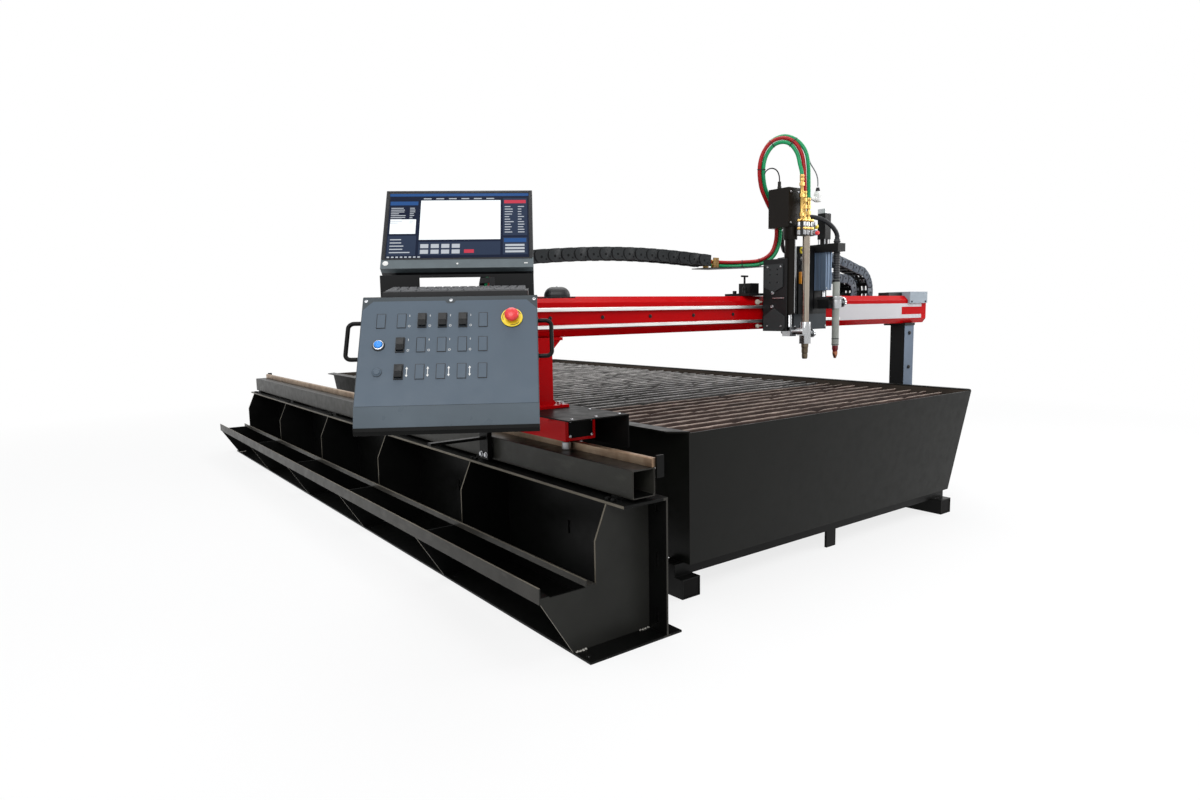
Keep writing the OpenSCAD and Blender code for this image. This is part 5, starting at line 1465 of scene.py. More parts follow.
@dataclass
class HoseBundle:
    """The three gas hoses that run side by side from the chain's end, over their loop, to the torch."""

    diameter: float = 0.018
    gap: float = 0.0016
    face: Point = (0.6, 0.8, -0.1)
    still_y: float = 0.63
    moved_y: float = 0.445
    tied: tuple[int, ...] = (2, 3, 10, 12, 14)
    tie_r: float = 0.0017
    tie_sides: int = 48
    route: tuple[Point, ...] = (
        (1.205, 0.872, 1.367), (1.275, 0.835, 1.362), (1.330, 0.778, 1.362), (1.380, 0.705, 1.368),
        (1.420, 0.662, 1.402), (1.444, 0.648, 1.463), (1.447, 0.646, 1.537), (1.415, 0.643, 1.602),
        (1.360, 0.638, 1.664), (1.310, 0.629, 1.725), (1.281, 0.614, 1.800), (1.288, 0.602, 1.866),
        (1.308, 0.572, 1.914), (1.334, 0.531, 1.931), (1.360, 0.490, 1.914), (1.380, 0.459, 1.866),
        (1.388, 0.447, 1.800))
    cutting_drop: tuple[Point, ...] = ((1.369, 0.456, 1.808), (1.367, 0.443, 1.770), (1.366, 0.440, 1.745),
                                       (1.366, 0.440, 1.7283))
    fuel_drop: tuple[Point, ...] = ((1.388, 0.440, 1.700), (1.388, 0.440, 1.668), (1.388, 0.440, 1.6533))
    heating_drop: tuple[Point, ...] = ((1.417, 0.440, 1.690), (1.417, 0.440, 1.640), (1.417, 0.440, 1.6243))

    def frame(self, i: int) -> tuple[Vector, Vector, Vector]:
        """Gives a point of the bundle's middle and the directions across and behind it.

        Args:
            i: Number of the point.

        Returns:
            The point and two unit vectors.
        """
        p = [Vector(q) for q in self.route]
        way = (p[min(i + 1, len(p) - 1)] - p[max(i - 1, 0)]).normalized()
        across = way.cross(Vector(self.face)).normalized()
        return p[i], across, across.cross(way)

    @staticmethod
    def eased(i: int, start: float, end: float, first: int, last: int) -> float:
        """Changes a distance evenly between two of the bundle's points.

        Args:
            i: Number of the point.
            start: Distance up to the first point.
            end: Distance from the last point on.
            first: Number of the first point.
            last: Number of the last point.

        Returns:
            The distance at the point.
        """
        return start + (end - start) * min(max((i - first) / (last - first), 0.0), 1.0)

    def strand(self, across: Ease, behind: Ease) -> list[Point]:
        """Gives one hose's points beside the bundle's middle.

        Args:
            across: Start, end, first and last point of its distance across.
            behind: The same for its distance behind.

        Returns:
            The points in order.
        """
        points = []
        for i in range(len(self.route)):
            at, over, back = self.frame(i)
            points.append(tuple(at + self.eased(i, *across) * over + self.eased(i, *behind) * back))
        return points

    def build(self) -> None:
        """Makes the three hoses, their ties and their ferrules."""
        side = (self.diameter + self.gap) / 2
        level = (0.0, 0.0, 0, 1)
        ways = (((-side, -2 * side, 12, 15), level), ((side, 0.0, 12, 15), level),
                ((0.0, self.diameter + 0.003, 10, 13), (2 * side, 0.0, 13, 15)))
        cutting, fuel, heating = (self.strand(*way) for way in ways)
        cutting = cutting[:-1] + list(self.cutting_drop)
        fuel += list(self.fuel_drop)
        heating += list(self.heating_drop)
        for name, node, route, finish, slot in (
                ("cutting_line", "oxygen_hose", cutting, GREEN_RUBBER, "green_rubber"),
                ("fuel_line", "fuel_hose", fuel, RED_RUBBER, "red_rubber"),
                ("heating_line", "oxygen_hose", heating, GREEN_RUBBER, "green_rubber")):
            Hose(name, route, self.diameter, finish, slot, "oxy_lift", node,
                 self.still_y, self.moved_y).build()
        self.ties(ways)
        self.ferrules((cutting, fuel, heating))

    def ties(self, ways: tuple[tuple[Ease, Ease], ...]) -> None:
        """Makes the black ties drawn tight round the three hoses.

        Args:
            ways: Each hose's distances across and behind.
        """
        maker = Maker("hose_ties")
        radius = self.diameter / 2
        reach = radius + 0.0006
        turns = [WHOLE_TURN * k / self.tie_sides for k in range(self.tie_sides)]
        for i in self.tied:
            at, across, behind = self.frame(i)
            middles = [(self.eased(i, *a), self.eased(i, *b)) for a, b in ways]
            loop = []
            for c, s in ((math.cos(a), math.sin(a)) for a in turns):
                u, v = max(middles, key=lambda m: m[0] * c + m[1] * s)
                loop.append(at + (u + reach * c) * across + (v + reach * s) * behind)
            maker.tube(loop, self.tie_r, 8, True)
            head = at + (middles[0][0] - 0.002) * across - (radius + 0.0012) * behind
            maker.block((-0.003, -0.002, -0.003), (0.003, 0.002, 0.003), turned(tuple(head), tuple(across)))
        piece = maker.done(BLACK_PLASTIC, "black_plastic")
        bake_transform(piece)

    @staticmethod
    def ferrules(routes: tuple[list[Point], ...]) -> None:
        """Makes the brass ferrules over the hoses' ends.

        Args:
            routes: The hoses' points.
        """
        bore, rim = 0.0091, 0.0105
        sleeve = [(bore, 0.0), (rim, 0.0), (rim, 0.012), (0.0099, 0.0135), (rim, 0.015), (rim, 0.026),
                  (0.0096, 0.03), (bore, 0.03)]
        torch, chain = Maker("torch_ferrules"), Maker("chain_ferrules")
        for route in routes:
            torch.ring(sleeve, turned(route[-1], UP), 24)
            chain.ring(sleeve, turned(route[0], tuple(Vector(route[1]) - Vector(route[0]))), 24)
        torch.on("oxy_lift", BRASS, "brass")
        chain.on("torch_carriage", BRASS, "brass")


@dataclass
class Console:
    """The operator console: panel trim, switches' marks, screen picture, keys and mouse."""

    x: float = -0.560
    y: float = 0.209
    yaw: float = math.radians(-33.0)
    tilt: float = math.radians(31.6)
    low: Point = (0.0, -0.347, 0.839)
    lip_end: Point = (0.0, -0.3284, 0.8312)
    lip_tilt: float = math.radians(14.0)
    film_half: float = 0.2428
    film_low: float = 0.0672
    film_high: float = 0.392
    film_cut: float = 0.028
    film_t: float = 0.0008
    switch_x: float = -0.189
    switch_pitch: float = 0.0563
    switch_rows: tuple[float, ...] = (0.327, 0.250, 0.167)
    blanks: tuple[tuple[int, ...], ...] = ((0, 1, 5), (2, 3, 4, 5), (2, 3, 4, 5))
    marked: range = range(1, 5)
    mark_shift: float = 0.0215
    mark_t: float = 0.00025
    plug_at: Pair = (-0.190, 0.167)
    stop_at: Pair = (0.173, 0.331)
    start_at: Pair = (-0.191, 0.250)
    screws_p: tuple[float, ...] = (-0.235, 0.001, 0.236)
    screws_q: float = 0.393
    feet_q: Pair = (0.218, 0.332)
    deck_top: float = 1.1858
    key_counts: tuple[int, ...] = (16, 15, 15, 14, 13, 9)
    key_pitch: float = 0.0205
    key_h: float = 0.0178
    keys_w: float = 0.400
    monitor_at: Point = (-0.012, 0.167, 1.2828)
    monitor_tilt: float = math.radians(33.0)
    monitor_w: float = 0.490
    monitor_h: float = 0.322
    picture_box: Box = (-0.233, 0.040, 0.233, 0.310)

    def frame(self) -> Matrix:
        """Gives the console's own frame, on its swivel axis."""
        return Matrix.Translation((self.x, self.y, 0)) @ Matrix.Rotation(self.yaw, 4, "Z")

    def panel(self, p: float, q: float) -> Matrix:
        """Gives a frame on the front panel, with Z out of it.

        Args:
            p: Place across, from the panel's middle.
            q: Place up the slope, from the lower edge.

        Returns:
            The frame as a matrix.
        """
        up = Vector((0, math.sin(self.tilt), math.cos(self.tilt)))
        at = Vector((p, 0, 0)) + Vector(self.low) + q * up
        return self.frame() @ Matrix.Translation(at) @ Matrix.Rotation(QUARTER_TURN - self.tilt, 4, "X")

    def switch(self, column: int, row: int, shift: float = 0.0) -> Matrix:
        """Gives a frame on the front panel at a place of the switches' grid.

        Args:
            column: Number of the column, from the left.
            row: Number of the row, from the top.
            shift: Distance to the right of the place.

        Returns:
            The frame as a matrix.
        """
        return self.panel(self.switch_x + self.switch_pitch * column + shift, self.switch_rows[row])

    def screen(self) -> Matrix:
        """Gives the monitor's frame: X across, Y up its face, Z out of it."""
        return (self.frame() @ Matrix.Translation(self.monitor_at)
                @ Matrix.Rotation(QUARTER_TURN - self.monitor_tilt, 4, "X"))

    def build(self) -> None:
        """Makes every piece of the console."""
        self.overlay()
        self.blank_faces()
        self.lip_edge()
        self.picture()
        self.bezel()
        self.keys()
        self.mouse()
        self.marks()
        self.screws()
        self.rings()

    def overlay(self) -> None:
        """Makes the thin film round the switches, cut back at its corners and at the middle screw."""
        maker = Maker("panel_overlay")
        half, low, high, cut = self.film_half, self.film_low, self.film_high, self.film_cut
        right = [(half, high - cut), (half - cut, high), (0.016, high), (0.009, high - 0.009)]
        outline = [(-half, low), (half, low)] + right + [(-x, y) for x, y in reversed(right)]
        maker.prism(outline, 0.0, self.film_t, self.panel(0.0, 0.0))
        maker.on("console", OVERLAY_COAT, "panel_grey", 0.0003, False)

    def blank_faces(self) -> None:
        """Makes the panel-coloured faces of the blank switch places and of the round plug."""
        maker = Maker("blank_faces")
        low = [(-0.0112, -0.0217), (0.0112, -0.0217), (0.0112, 0.0217), (-0.0112, 0.0217)]
        high = [(0.93 * x, 0.96 * y) for x, y in low]
        for row, columns in enumerate(self.blanks):
            for column in columns:
                maker.prism(low, 0.0025, 0.0031, self.switch(column, row), high)
        maker.lathe([(0.0126, 0.0030), (0.0126, 0.0034), (0.0108, 0.0040), (0.0075, 0.0073), (0.005, 0.0074)],
                    self.panel(*self.plug_at), 32)
        maker.on("console", OVERLAY_COAT, "panel_grey", 0.0002, False)

    def lip_edge(self) -> None:
        """Makes the black strip along the lower edge of the bent lip."""
        maker = Maker("lip_edge")
        maker.block((-0.2448, -0.3282, 0.8205), (0.2448, -0.314, 0.8310), self.frame())
        face = self.frame() @ Matrix.Translation(self.lip_end) @ Matrix.Rotation(-self.lip_tilt, 4, "X")
        maker.block((-0.2449, -0.0009, -0.0006), (0.2449, 0.0, 0.0098), face)
        maker.on("console", STAND_BLACK, "black_plastic", 0.0004, False)

    def picture(self) -> None:
        """Makes a plain control picture of panels, bars and rows."""
        x0, y0, x1, y1 = self.picture_box
        layers: dict[Finish, list[Box]] = {
            SCREEN_NIGHT: [self.picture_box],
            SCREEN_SLATE: [(x0 + 0.004, y0 + 0.012, x0 + 0.096, y0 + 0.092),
                           (0.146, y0 + 0.09, x1 - 0.006, y1 - 0.022),
                           (-0.128, y0 + 0.012, 0.138, y0 + 0.066),
                           (0.146, y0 + 0.012, x1 - 0.006, y0 + 0.082)],
            SCREEN_WHITE: [(-0.128, y0 + 0.075, 0.138, y1 - 0.03),
                           (x0 + 0.008, y0 + 0.1, x0 + 0.092, y0 + 0.16)],
            SCREEN_BLUE: [(x0, y1 - 0.012, x1, y1), (x0 + 0.004, y1 - 0.05, x0 + 0.096, y1 - 0.034),
                          (0.15, y0 + 0.062, x1 - 0.01, y0 + 0.078)],
            SCREEN_RED: [(0.02, y0 + 0.02, 0.052, y0 + 0.034), (0.15, y1 - 0.044, x1 - 0.01, y1 - 0.03)],
            SCREEN_PALE: self.bars()}
        back, front, step = -0.0016, -0.0014, 0.00012
        for n, (finish, boxes) in enumerate(layers.items()):
            maker = Maker(f"picture_{n}")
            for a, b, c, d in boxes:
                maker.block((a, b, back), (c, d, front + step * min(n, 3)), self.screen())
            maker.on("console", finish, "gloss_black", 0.0, False)

    def bars(self) -> list[Box]:
        """Gives the small pale bars of the picture's lists and buttons.

        Returns:
            Boxes as left, low, right and high.
        """
        rng = random.Random(5)
        x0, y0, x1, y1 = self.picture_box
        lists = ((9, y1 - 0.064, -0.0078, 0.0028, ((x0 + 0.008, 0.025, 0.05), (x0 + 0.07, 0.008, 0.018))),
                 (11, y1 - 0.06, -0.0108, 0.0034, ((0.152, 0.015, 0.03), (0.196, 0.01, 0.022))),
                 (5, y0 + 0.022, 0.013, 0.004, ((x0 + 0.012, 0.03, 0.07),)))
        grids = ((6, 1, -0.12, y1 - 0.0245, 0.042, 0.0, 0.026, 0.004),
                 (4, 2, -0.122, y0 + 0.018, 0.034, 0.023, 0.026, 0.016),
                 (1, 3, 0.154, y0 + 0.02, 0.0, 0.013, x1 - 0.17, 0.008),
                 (8, 1, x0 + 0.006, y0 + 0.003, 0.014, 0.0, 0.008, 0.005))
        bars = [(x, y + k * step, x + rng.uniform(least, most), y + k * step + height)
                for count, y, step, height, columns in lists
                for k in range(count) for x, least, most in columns]
        bars += [(x + i * dx, y + j * dy, x + i * dx + w, y + j * dy + h)
                 for columns, rows, x, y, dx, dy, w, h in grids
                 for i in range(columns) for j in range(rows)]
        return bars

    def bezel(self) -> None:
        """Makes the glass frame's thin edge, the power key, its lamp and a plain disc."""
        place = self.screen()
        half, top, t = self.monitor_w / 2, self.monitor_h - 0.004, 0.0012
        edge = Maker("bezel_edge")
        edge.block((-half + 0.003, 0.034, 0.0), (half - 0.003, 0.0385, t), place)
        for x in (-half + 0.0035, half - 0.0085):
            edge.block((x, 0.0385, 0.0), (x + 0.005, top, t), place)
        edge.block((-half + 0.0035, top - 0.005, 0.0), (half - 0.0035, top, t), place)
        edge.on("console", GLOSS_BLACK, "gloss_black", 0.0003)
        lamp = Maker("power_lamp")
        lamp.lathe([(0.0035, 0.0), (0.0035, 0.0008), (0.0026, 0.0014)],
                   place @ Matrix.Translation((0.0, 0.016, 0)), 16)
        lamp.block((half - 0.03, 0.014, 0.0), (half - 0.018, 0.018, 0.0009), place)
        lamp.lathe([(0.009, 0.0), (0.009, 0.0005), (0.0084, 0.0007)],
                   place @ Matrix.Translation((0.016 - half, 0.02, 0)), 24)
        lamp.on("console", WHITE_PLASTIC, "gloss_black")

    def keys(self) -> None:
        """Makes the keyboard's keys."""
        maker = Maker("keyboard_keys")
        base = (self.frame() @ Matrix.Translation((0.012, -0.118, self.deck_top + 0.014))
                @ Matrix.Rotation(math.atan2(0.010, 0.140), 4, "X"))
        h, e, back, gap = self.key_h, 0.0014, 0.134, 0.0022
        for r, count in enumerate(self.key_counts):
            y = back - self.key_pitch * (r + 1)
            pitch = self.keys_w / count
            for k in range(count):
                x, w = k * pitch - self.keys_w / 2, pitch - gap
                low = [(x, y), (x + w, y), (x + w, y + h), (x, y + h)]
                left, right, near, far = x + e, x + w - e, y + e, y + h - 0.001
                high = [(left, near), (right, near), (right, far), (left, far)]
                maker.prism(low, 0.0, 0.0095 - 0.001 * r, base, high)
        maker.on("console", KEY_PLASTIC, "black_plastic", 0.0005, False)

    def mouse(self) -> None:
        """Makes the mouse's wheel."""
        place = self.frame() @ Matrix.Translation((0.309, 0.278, self.deck_top + 0.0285))
        wheel = Maker("mouse_wheel")
        wheel.lathe([(0.007, -0.003), (0.0085, -0.002), (0.0085, 0.002), (0.007, 0.003)],
                    place @ Matrix.Rotation(QUARTER_TURN, 4, "Y"), 20)
        wheel.on("console", GREY_CABLE, "black_plastic")

    def marks(self) -> None:
        """Makes the white travel arrows, ticks and rings beside the switches."""
        maker = Maker("switch_marks")
        low, high = self.film_t, self.film_t + self.mark_t
        for k in self.marked:
            place = self.switch(k, 2, self.mark_shift)
            maker.block((-0.0009, -0.010, low), (0.0009, 0.010, high), place)
            for s in (1, -1):
                maker.prism([(-0.0036, s * 0.009), (0.0036, s * 0.009), (0.0, s * 0.0155)], low, high, place)
        for row in (0, 1):
            for k in self.marked:
                place = self.switch(k, row, self.mark_shift)
                maker.block((-0.0006, 0.0135, low), (0.0006, 0.0195, high), place)
                maker.ring([(0.0024, low), (0.0033, low), (0.0033, high), (0.0024, high)],
                           place @ Matrix.Translation((0.0, -0.0165, 0)), 16)
        maker.on("console", WHITE_PLASTIC, "panel_grey", 0.0, False)

    def screws(self) -> None:
        """Makes the panel's screws and the handles' feet."""
        maker = Maker("panel_screws")
        head = [(0.0016, 0.0008), (0.0052, 0.0), (0.0052, 0.0012), (0.0036, 0.0026), (0.0016, 0.0028)]
        for p in self.screws_p:
            maker.ring(head, self.panel(p, self.screws_q), 20)
        maker.on("console", BOLT_STEEL, "panel_grey")
        feet = Maker("handle_feet")
        foot = [(0.0061, 0.0), (0.0125, 0.0), (0.0125, 0.003), (0.0098, 0.0052), (0.0061, 0.0052)]
        for s in (-1, 1):
            for q in self.feet_q:
                place = self.panel(s * 0.241, q) @ Matrix.Translation((0, 0, -0.018))
                feet.ring(foot, place @ Matrix.Rotation(s * QUARTER_TURN, 4, "Y"), 24)
        feet.on("console", BLACK_PLASTIC, "black_plastic")

    def rings(self) -> None:
        """Makes the stop button's yellow ring with its arrows, and the start button's ring and seat."""
        stop_place, start_place = self.panel(*self.stop_at), self.panel(*self.start_at)
        stop = Maker("stop_ring")
        stop.ring([(0.0118, 0.004), (0.030, 0.004), (0.030, 0.0052), (0.0285, 0.0062), (0.0135, 0.0062)],
                  stop_place, 40)
        stop.on("console", YELLOW_PLASTIC, "red_plastic")
        start = Maker("start_ring")
        start.ring([(0.0116, 0.005), (0.0148, 0.005), (0.0142, 0.0066), (0.0122, 0.0072)], start_place, 32)
        start.on("console", BOLT_STEEL, "blue_plastic")
        seat = Maker("start_seat")
        seat.ring([(0.0150, 0.0008), (0.0174, 0.0008), (0.0170, 0.0034), (0.0150, 0.0042)], start_place, 32)
        seat.on("console", BLACK_PLASTIC, "black_plastic")
        arrows = Maker("stop_arrows")
        arc = [math.radians(a) for a in range(20, 81, 12)]
        outline = ([(0.0265 * math.cos(a), 0.0265 * math.sin(a)) for a in arc]
                   + [(0.0247 * math.cos(a), 0.0247 * math.sin(a)) for a in reversed(arc)])
        for k in range(3):
            arrows.prism(outline, 0.0058, 0.0065, stop_place @ Matrix.Rotation(k * WHOLE_TURN / 3, 4, "Z"))
        arrows.on("console", BLACK_PLASTIC, "black_plastic", 0.0, False)


@dataclass
class Gantry:
    """Trim of the truck, the column and the cross beam."""

    beam_y: float = 0.650
    beam_z: float = 1.034
    screws: int = 8
    screw_x: float = 0.069
    screw_pitch: float = 0.264
    screw_up: float = 0.0765
    panel_x: Pair = (1.962, 2.80)
    panel_up: Pair = (0.030, 0.118)
    panel_t: float = 0.002
    red_x: float = 2.584
    red_up: Pair = (0.053, 0.098)
    red_t: float = 0.0026
    truck_y: float = 0.427
    cover_z: float = 0.750
    bracket_x: float = -0.082
    bracket_bolts: tuple[Pair, ...] = ((0.94, 0.536), (0.98, 0.536), (0.96, 0.70))
    motor_at: Pair = (0.0973, 0.8482)
    fins: int = 11
    fins_z: float = 0.848
    fin_pitch: float = 0.008
    fin_h: float = 0.004
    fin_r: Pair = (0.0355, 0.0405)
    post_at: Pair = (2.685, 0.655)
    end_y: float = 0.636

    def build(self) -> None:
        """Makes the beam's screws and panels, the truck's trim and the post's bolts."""
        self.beam_screws()
        self.end_panel()
        self.truck_trim()
        self.post_trim()

    def beam_screws(self) -> None:
        """Makes the row of screws along the beam's face."""
        maker = Maker("beam_screws")
        for k in range(self.screws):
            at = (self.screw_x + self.screw_pitch * k, self.beam_y, self.beam_z + self.screw_up)
            maker.screw(at, FRONT, 0.0085)
        maker.on("gantry", BLACK_PLASTIC, "black_plastic")

    def end_panel(self) -> None:
        """Makes the plain white panel at the beam's right end, with its red field."""
        y, z = self.beam_y, self.beam_z
        left, right = self.panel_x
        low, high = self.panel_up
        panel = Maker("white_panel")
        panel.block((left, y - self.panel_t, z + low), (right, y, z + high))
        panel.on("gantry", WHITE_COAT, "light_grey", 0.0006)
        low, high = self.red_up
        red = Maker("red_field")
        red.block((self.red_x, y - self.red_t, z + low), (right, y - self.panel_t, z + high))
        red.on("gantry", RED_COAT, "red_coat", 0.0002)

    def truck_trim(self) -> None:
        """Makes the screws of the truck and its cover, the bracket's bolts and the motor's fins."""
        maker = Maker("truck_screws")
        for x in (0.0, 0.1):
            for z in (0.668, 0.727):
                maker.screw((x, self.truck_y, z), FRONT, 0.006)
        left, right, front, back = -0.06, 0.16, 0.33, 0.97
        for x, y in ((left, front), (0.05, front), (right, front), (right, 0.52), (right, 0.74),
                     (right, back), (left, back)):
            maker.screw((x, y, self.cover_z), UP, 0.006)
        maker.on("gantry", BOLT_STEEL, "gear_steel")
        bolts = Maker("bracket_bolts")
        for y, z in self.bracket_bolts:
            bolts.bolt((self.bracket_x, y, z), LEFT, 0.0095)
        bolts.on("gantry", BOLT_STEEL, "gear_steel")
        fins = Maker("motor_fins")
        inner, outer = self.fin_r
        for k in range(self.fins):
            z = self.fins_z + k * self.fin_pitch
            fins.ring([(inner, z), (outer, z), (outer, z + self.fin_h), (inner, z + self.fin_h)],
                      Matrix.Translation((*self.motor_at, 0)), 32)
        fins.on("gantry", DARK_COAT, "black_coat", 0.0005)

    def post_trim(self) -> None:
        """Makes the bolts of the right post and the screws of the end cover."""
        maker = Maker("post_bolts")
        for z in (0.767, 0.974):
            maker.bolt((*self.post_at, z), FRONT, 0.010)
        for x in (2.672, 2.822):
            maker.screw((x, self.end_y, 1.163), FRONT, 0.006)
        maker.on("gantry", BLACK_PLASTIC, "black_plastic")


@dataclass
class TorchStation:
    """The hoses, leads, fittings and small parts of the two torches."""

    oxy: Pair = (1.405, 0.440)
    plasma: Pair = (1.660, 0.450)
    plug_at: Point = (1.486, 0.440, 1.640)
    spigot_at: Point = (1.4265, 0.440, 1.654)
    valves_at: tuple[Pair, ...] = ((-0.039, -0.017), (-0.017, -0.019), (0.012, -0.019), (-0.050, 0.004))
    knurls: int = 32
    clamp_x: float = 1.704
    clamp_z: float = 1.162
    posts_y: float = 0.528
    cheek_x: float = 1.322
    trim_x: float = 1.316
    lifter_y: float = 0.480
    rollers_at: Pair = (1.290, 0.640)
    box_low: Point = (1.506, 0.562, 1.1045)
    box_high: Point = (1.6255, 0.600, 1.442)
    lead: tuple[Point, ...] = (
        (1.660, 0.450, 1.4743), (1.660, 0.450, 1.482), (1.660, 0.450, 1.490), (1.650, 0.453, 1.512),
        (1.626, 0.463, 1.540), (1.590, 0.480, 1.565), (1.545, 0.510, 1.580), (1.510, 0.560, 1.580),
        (1.510, 0.620, 1.565), (1.550, 0.690, 1.530), (1.630, 0.770, 1.485), (1.720, 0.835, 1.455),
        (1.775, 0.866, 1.444), (1.829, 0.872, 1.440))
    gland_lead: tuple[Point, ...] = (
        (1.347, 0.558, 1.738), (1.347, 0.558, 1.752), (1.345, 0.560, 1.772), (1.337, 0.566, 1.792),
        (1.323, 0.578, 1.803), (1.309, 0.592, 1.801), (1.299, 0.602, 1.790), (1.294, 0.607, 1.774))
    plug_lead: tuple[Point, ...] = (
        (1.411, 0.437, 1.836), (1.422, 0.438, 1.818), (1.436, 0.439, 1.805), (1.455, 0.440, 1.790),
        (1.472, 0.440, 1.772), (1.483, 0.440, 1.750), (1.486, 0.440, 1.728), (1.486, 0.440, 1.713))

    def hoses(self) -> None:
        """Makes the gas hoses, the plasma lead and the two thin sensor leads."""
        HoseBundle().build()
        Hose("plasma_cable", list(self.lead), 0.022, BLACK_RUBBER, "black_rubber", "plasma_lift",
             "plasma_lead", 0.80, 0.46).build()
        Hose("gland_cable", list(self.gland_lead), 0.006, BLACK_RUBBER, "black_rubber",
             "torch_carriage").build()
        Hose("plug_cable", list(self.plug_lead), 0.006, GREY_CABLE, "black_rubber", "oxy_lift",
             far_end="plug").build(self.elbow_plug())

    def elbow_plug(self) -> bpy.types.Object:
        """Makes the white elbow plug that sits against the heating column.

        Returns:
            The plug.
        """
        maker = Maker("elbow_plug")
        h, c = 0.015, 0.010
        body = [(-h, -c), (-c, -h), (c, -h), (h, -c), (h, c), (c, h), (-c, h), (-h, c)]
        place = Matrix.Translation(self.plug_at)
        maker.prism([(0.8 * a, 0.8 * b) for a, b in body], 0.0, 0.005, place, body)
        maker.prism(body, 0.005, 0.036, place)
        maker.prism(body, 0.036, 0.050, place, [(0.72 * a, 0.72 * b) for a, b in body])
        maker.lathe([(0.0095, 0.0), (0.0095, 0.030), (0.0125, 0.031), (0.0125, 0.042), (0.011, 0.046)],
                    turned(self.spigot_at, RIGHT), 20)
        plug = maker.on("oxy_lift", WHITE_PLASTIC, "torch_grey", 0.0006)
        boot = Maker("plug_boot")
        bore = 0.0032
        for k, r in enumerate((0.0112, 0.0098, 0.0084)):
            z = 0.0485 + 0.0065 * k
            boot.ring([(bore, z), (r, z), (r, z + 0.0045), (r - 0.0018, z + 0.0065), (bore, z + 0.0065)],
                      place, 20)
        boot.on("oxy_lift", BLACK_RUBBER, "black_rubber")
        return plug

    def build(self) -> None:
        """Makes the fittings, screws and tips."""
        self.tips()
        self.valves()
        self.plasma_trim()
        self.plate_trim()
        self.height_box()

    def tips(self) -> None:
        """Makes the burnt nut of the oxygen torch and the tip of the plasma torch."""
        place = Matrix.Translation((*self.oxy, 0))
        nut = Maker("oxy_nut")
        root, crest = 0.0135, 0.0156
        for k in range(5):
            z = 0.9205 + 0.0043 * k
            nut.ring([(root, z), (crest, z + 0.0006), (crest, z + 0.0030), (root, z + 0.0036)], place, 20)
        nut.ring([(0.0088, 0.8905), (0.0112, 0.8905), (0.0136, 0.899), (0.0140, 0.915), (0.0116, 0.9155)],
                 place, 24)
        nut.on("oxy_lift", BURNT_STEEL, "torch_steel", 0.0003)
        tip = Maker("plasma_tip")
        tip.ring([(0.0045, 0.8799), (0.0056, 0.8799), (0.0098, 0.8925), (0.0126, 0.902), (0.0126, 0.9125),
                  (0.0118, 0.913), (0.0118, 0.903), (0.0088, 0.893)],
                 Matrix.Translation((*self.plasma, 0)), 24)
        tip.on("plasma_lift", COPPER, "torch_steel")

    def valves(self) -> None:
        """Makes the torch head's valve columns, their nuts and the coloured knobs."""
        x, y = self.oxy
        columns, nuts = Maker("valve_columns"), Maker("valve_nuts")
        rim, neck = 0.0098, 0.0078
        body = [(0.0072, 1.478), (rim, 1.481), (rim, 1.500), (neck, 1.503), (neck, 1.516), (rim, 1.519),
                (rim, 1.537), (0.0075, 1.541)]
        for dx, dy in self.valves_at:
            place = Matrix.Translation((x + dx, y + dy, 0))
            columns.lathe(body, place, 20)
            for z in (1.5035, 1.541):
                nuts.lathe([(0.0112, z), (0.0118, z + 0.002), (0.0118, z + 0.009), (0.0106, z + 0.011)],
                           place, 6)
        for z in (1.488, 1.529):
            columns.lathe([(0.0065, 0.0), (0.0085, 0.002), (0.0085, 0.014), (0.0062, 0.016)],
                          turned((x + 0.027, y - 0.019, z), FRONT), 20)
        columns.on("oxy_lift", CHROME, "chrome", 0.0004)
        nuts.on("oxy_lift", BRASS, "brass", 0.0003)
        knob = [(0.009, 0.0), (0.0125, 0.002), (0.0125, 0.011), (0.0105, 0.0145), (0.004, 0.0145),
                (0.004, 0.018), (0.0028, 0.019)]
        for name, z, finish, slot in (("blue_valve", 1.494, BLUE_PLASTIC, "blue_plastic"),
                                      ("yellow_valve", 1.524, YELLOW_PLASTIC, "brass")):
            maker = Maker(name)
            maker.lathe(knob, turned((x + 0.064, y, z), RIGHT), 12)
            maker.on("oxy_lift", finish, slot, 0.0004)
        red = Maker("red_valve")
        red.lathe([(0.8 * r, h) for r, h in knob], turned((x + 0.027, y - 0.035, 1.488), FRONT), 12)
        red.on("oxy_lift", RED_PLASTIC, "red_plastic", 0.0004)

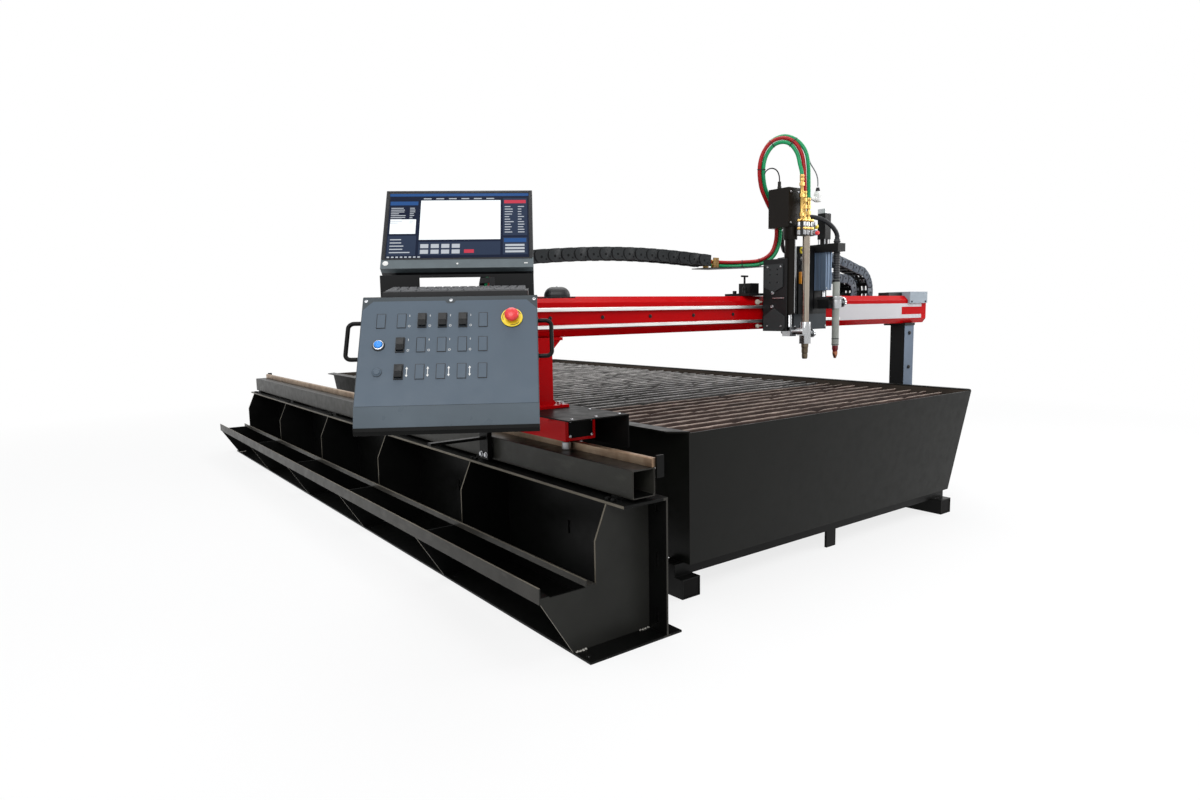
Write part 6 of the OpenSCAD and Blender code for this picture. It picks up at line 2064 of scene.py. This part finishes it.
    def plasma_trim(self) -> None:
        """Makes the plasma clamp's knob and ring, the torch's bands and the lifter's posts and screws."""
        x, y = self.plasma
        torch = Matrix.Translation((x, y, 0))
        knob = Maker("clamp_knob")
        outline = []
        for k in range(self.knurls):
            a, r = WHOLE_TURN * k / self.knurls, 0.026 - 0.0025 * (k % 2)
            outline.append((r * math.cos(a), r * math.sin(a)))
        place = turned((self.clamp_x, y, self.clamp_z), RIGHT)
        knob.prism(outline, 0.0, 0.012, place)
        knob.lathe([(0.012, 0.012), (0.012, 0.016), (0.010, 0.018)], place, 24)
        knob.ring([(0.0275, 1.1765), (0.034, 1.1765), (0.034, 1.1885), (0.0275, 1.1885)], torch, 40)
        knob.on("plasma_lift", CHROME, "chrome", 0.0005)
        bands = Maker("torch_bands")
        for z, h in ((0.9765, 0.004), (0.9485, 0.0025), (1.262, 0.012)):
            bands.ring([(0.0168, z), (0.0182, z), (0.0182, z + h), (0.0168, z + h)], torch, 32)
        bands.on("plasma_lift", BLACK_RUBBER, "black_rubber", 0.0004)
        posts = Maker("lifter_posts")
        for sx in (-0.019, 0.019):
            for sy in (-0.019, 0.019):
                place = Matrix.Translation((x + sx, self.posts_y + sy, 0))
                posts.lathe([(0.003, 1.452), (0.003, 1.478)], place, 12)
        for sx in (-0.017, 0.017):
            posts.screw((x + sx, 0.496, 1.232), FRONT, 0.004)
        posts.on("torch_carriage", BOLT_STEEL, "chrome")

    def plate_trim(self) -> None:
        """Makes the screws and strips of the cheek, the lifter's box and the back plate, and the rollers."""
        maker = Maker("station_screws")
        for y, z in ((0.571, 1.211), (0.574, 1.144)):
            maker.screw((self.cheek_x, y, z), LEFT, 0.010)
        for y, z in ((0.52, 1.335), (0.60, 1.335), (0.515, 1.05), (0.60, 1.05)):
            maker.screw((self.trim_x, y, z), LEFT, 0.005)
        for x in (1.336, 1.39):
            for z in (1.54, 1.684):
                maker.screw((x, self.lifter_y, z), FRONT, 0.005)
        for at in ((1.52, 0.594, 1.04), (1.77, 0.594, 1.04), (1.45, 0.600, 1.27), (1.74, 0.600, 1.27)):
            maker.screw(at, FRONT, 0.006)
        maker.block((1.318, 0.50, 1.183), (self.cheek_x, 0.57, 1.187))
        strip = turned((1.369, 0.4812, 1.112), UP) @ Matrix.Rotation(math.radians(-16), 4, "Z")
        maker.block((-0.0035, -0.0025, 0.0), (0.0035, 0.004, 0.388), strip)
        maker.on("torch_carriage", BOLT_STEEL, "gear_steel")
        rollers = Maker("cheek_rollers")
        for z, r in ((1.168, 0.013), (1.050, 0.010)):
            at = (*self.rollers_at, z)
            rollers.lathe([(r - 0.002, -0.006), (r, -0.004), (r, 0.004), (r - 0.002, 0.006)],
                          turned(at, FRONT), 24)
            rollers.lathe([(0.005, 0.0), (0.005, 0.030)], turned(at, RIGHT), 16)
        rollers.on("torch_carriage", IVORY_PLASTIC, "light_grey", 0.0004)

    def height_box(self) -> None:
        """Makes the black control box behind the torch, with its connectors."""
        left, front, low = self.box_low
        high = self.box_high[2]
        box = Maker("height_box")
        box.block(self.box_low, self.box_high)
        for z in (1.125, 1.425):
            box.screw((1.612, front, z), FRONT, 0.004)
        box.block((1.509, 0.551, 1.330), (1.533, front, 1.350))
        box.on("torch_carriage", DARK_COAT, "black_coat", 0.0012)
        side = Maker("box_edge")
        side.block((1.5035, 0.574, low), (left, 0.5998, high))
        side.on("torch_carriage", BOLT_STEEL, "lifter_aluminium", 0.0004)
        ring = Maker("socket_ring")
        ring.ring([(0.008, 0.0), (0.0165, 0.0), (0.0165, 0.004), (0.0145, 0.006), (0.010, 0.006),
                   (0.008, 0.004)], turned((1.527, front, 1.422), FRONT), 28)
        ring.on("torch_carriage", YELLOW_PLASTIC, "brass")
        gland = Maker("box_gland")
        gland.lathe([(0.010, 0.0), (0.010, 0.006), (0.008, 0.008), (0.008, 0.016), (0.005, 0.019)],
                    turned((1.522, front, 1.380), FRONT), 6)
        gland.on("torch_carriage", BOLT_STEEL, "chrome", 0.0003)
        plug = Maker("box_connector")
        plug.block((1.508, 0.548, 1.256), (1.536, front, 1.314))
        for z in (1.264, 1.284, 1.304):
            plug.block((1.5075, 0.546, z - 0.003), (1.5365, 0.549, z + 0.003))
        plug.on("torch_carriage", ORANGE_PLASTIC, "brass", 0.0006)


def main() -> None:
    """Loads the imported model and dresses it."""
    logging.basicConfig(level=logging.INFO, format="%(message)s")
    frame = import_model()
    bpy.context.scene.view_settings.view_transform = "Standard"
    Studio().build()
    station = TorchStation()
    station.hoses()
    Dresser(frame["nodes"]).build()
    RailStand().build()
    CuttingTable().build()
    for chain in chains():
        chain.build()
    Console().build()
    Gantry().build()
    station.build()


if __name__ == "__main__":
    main()
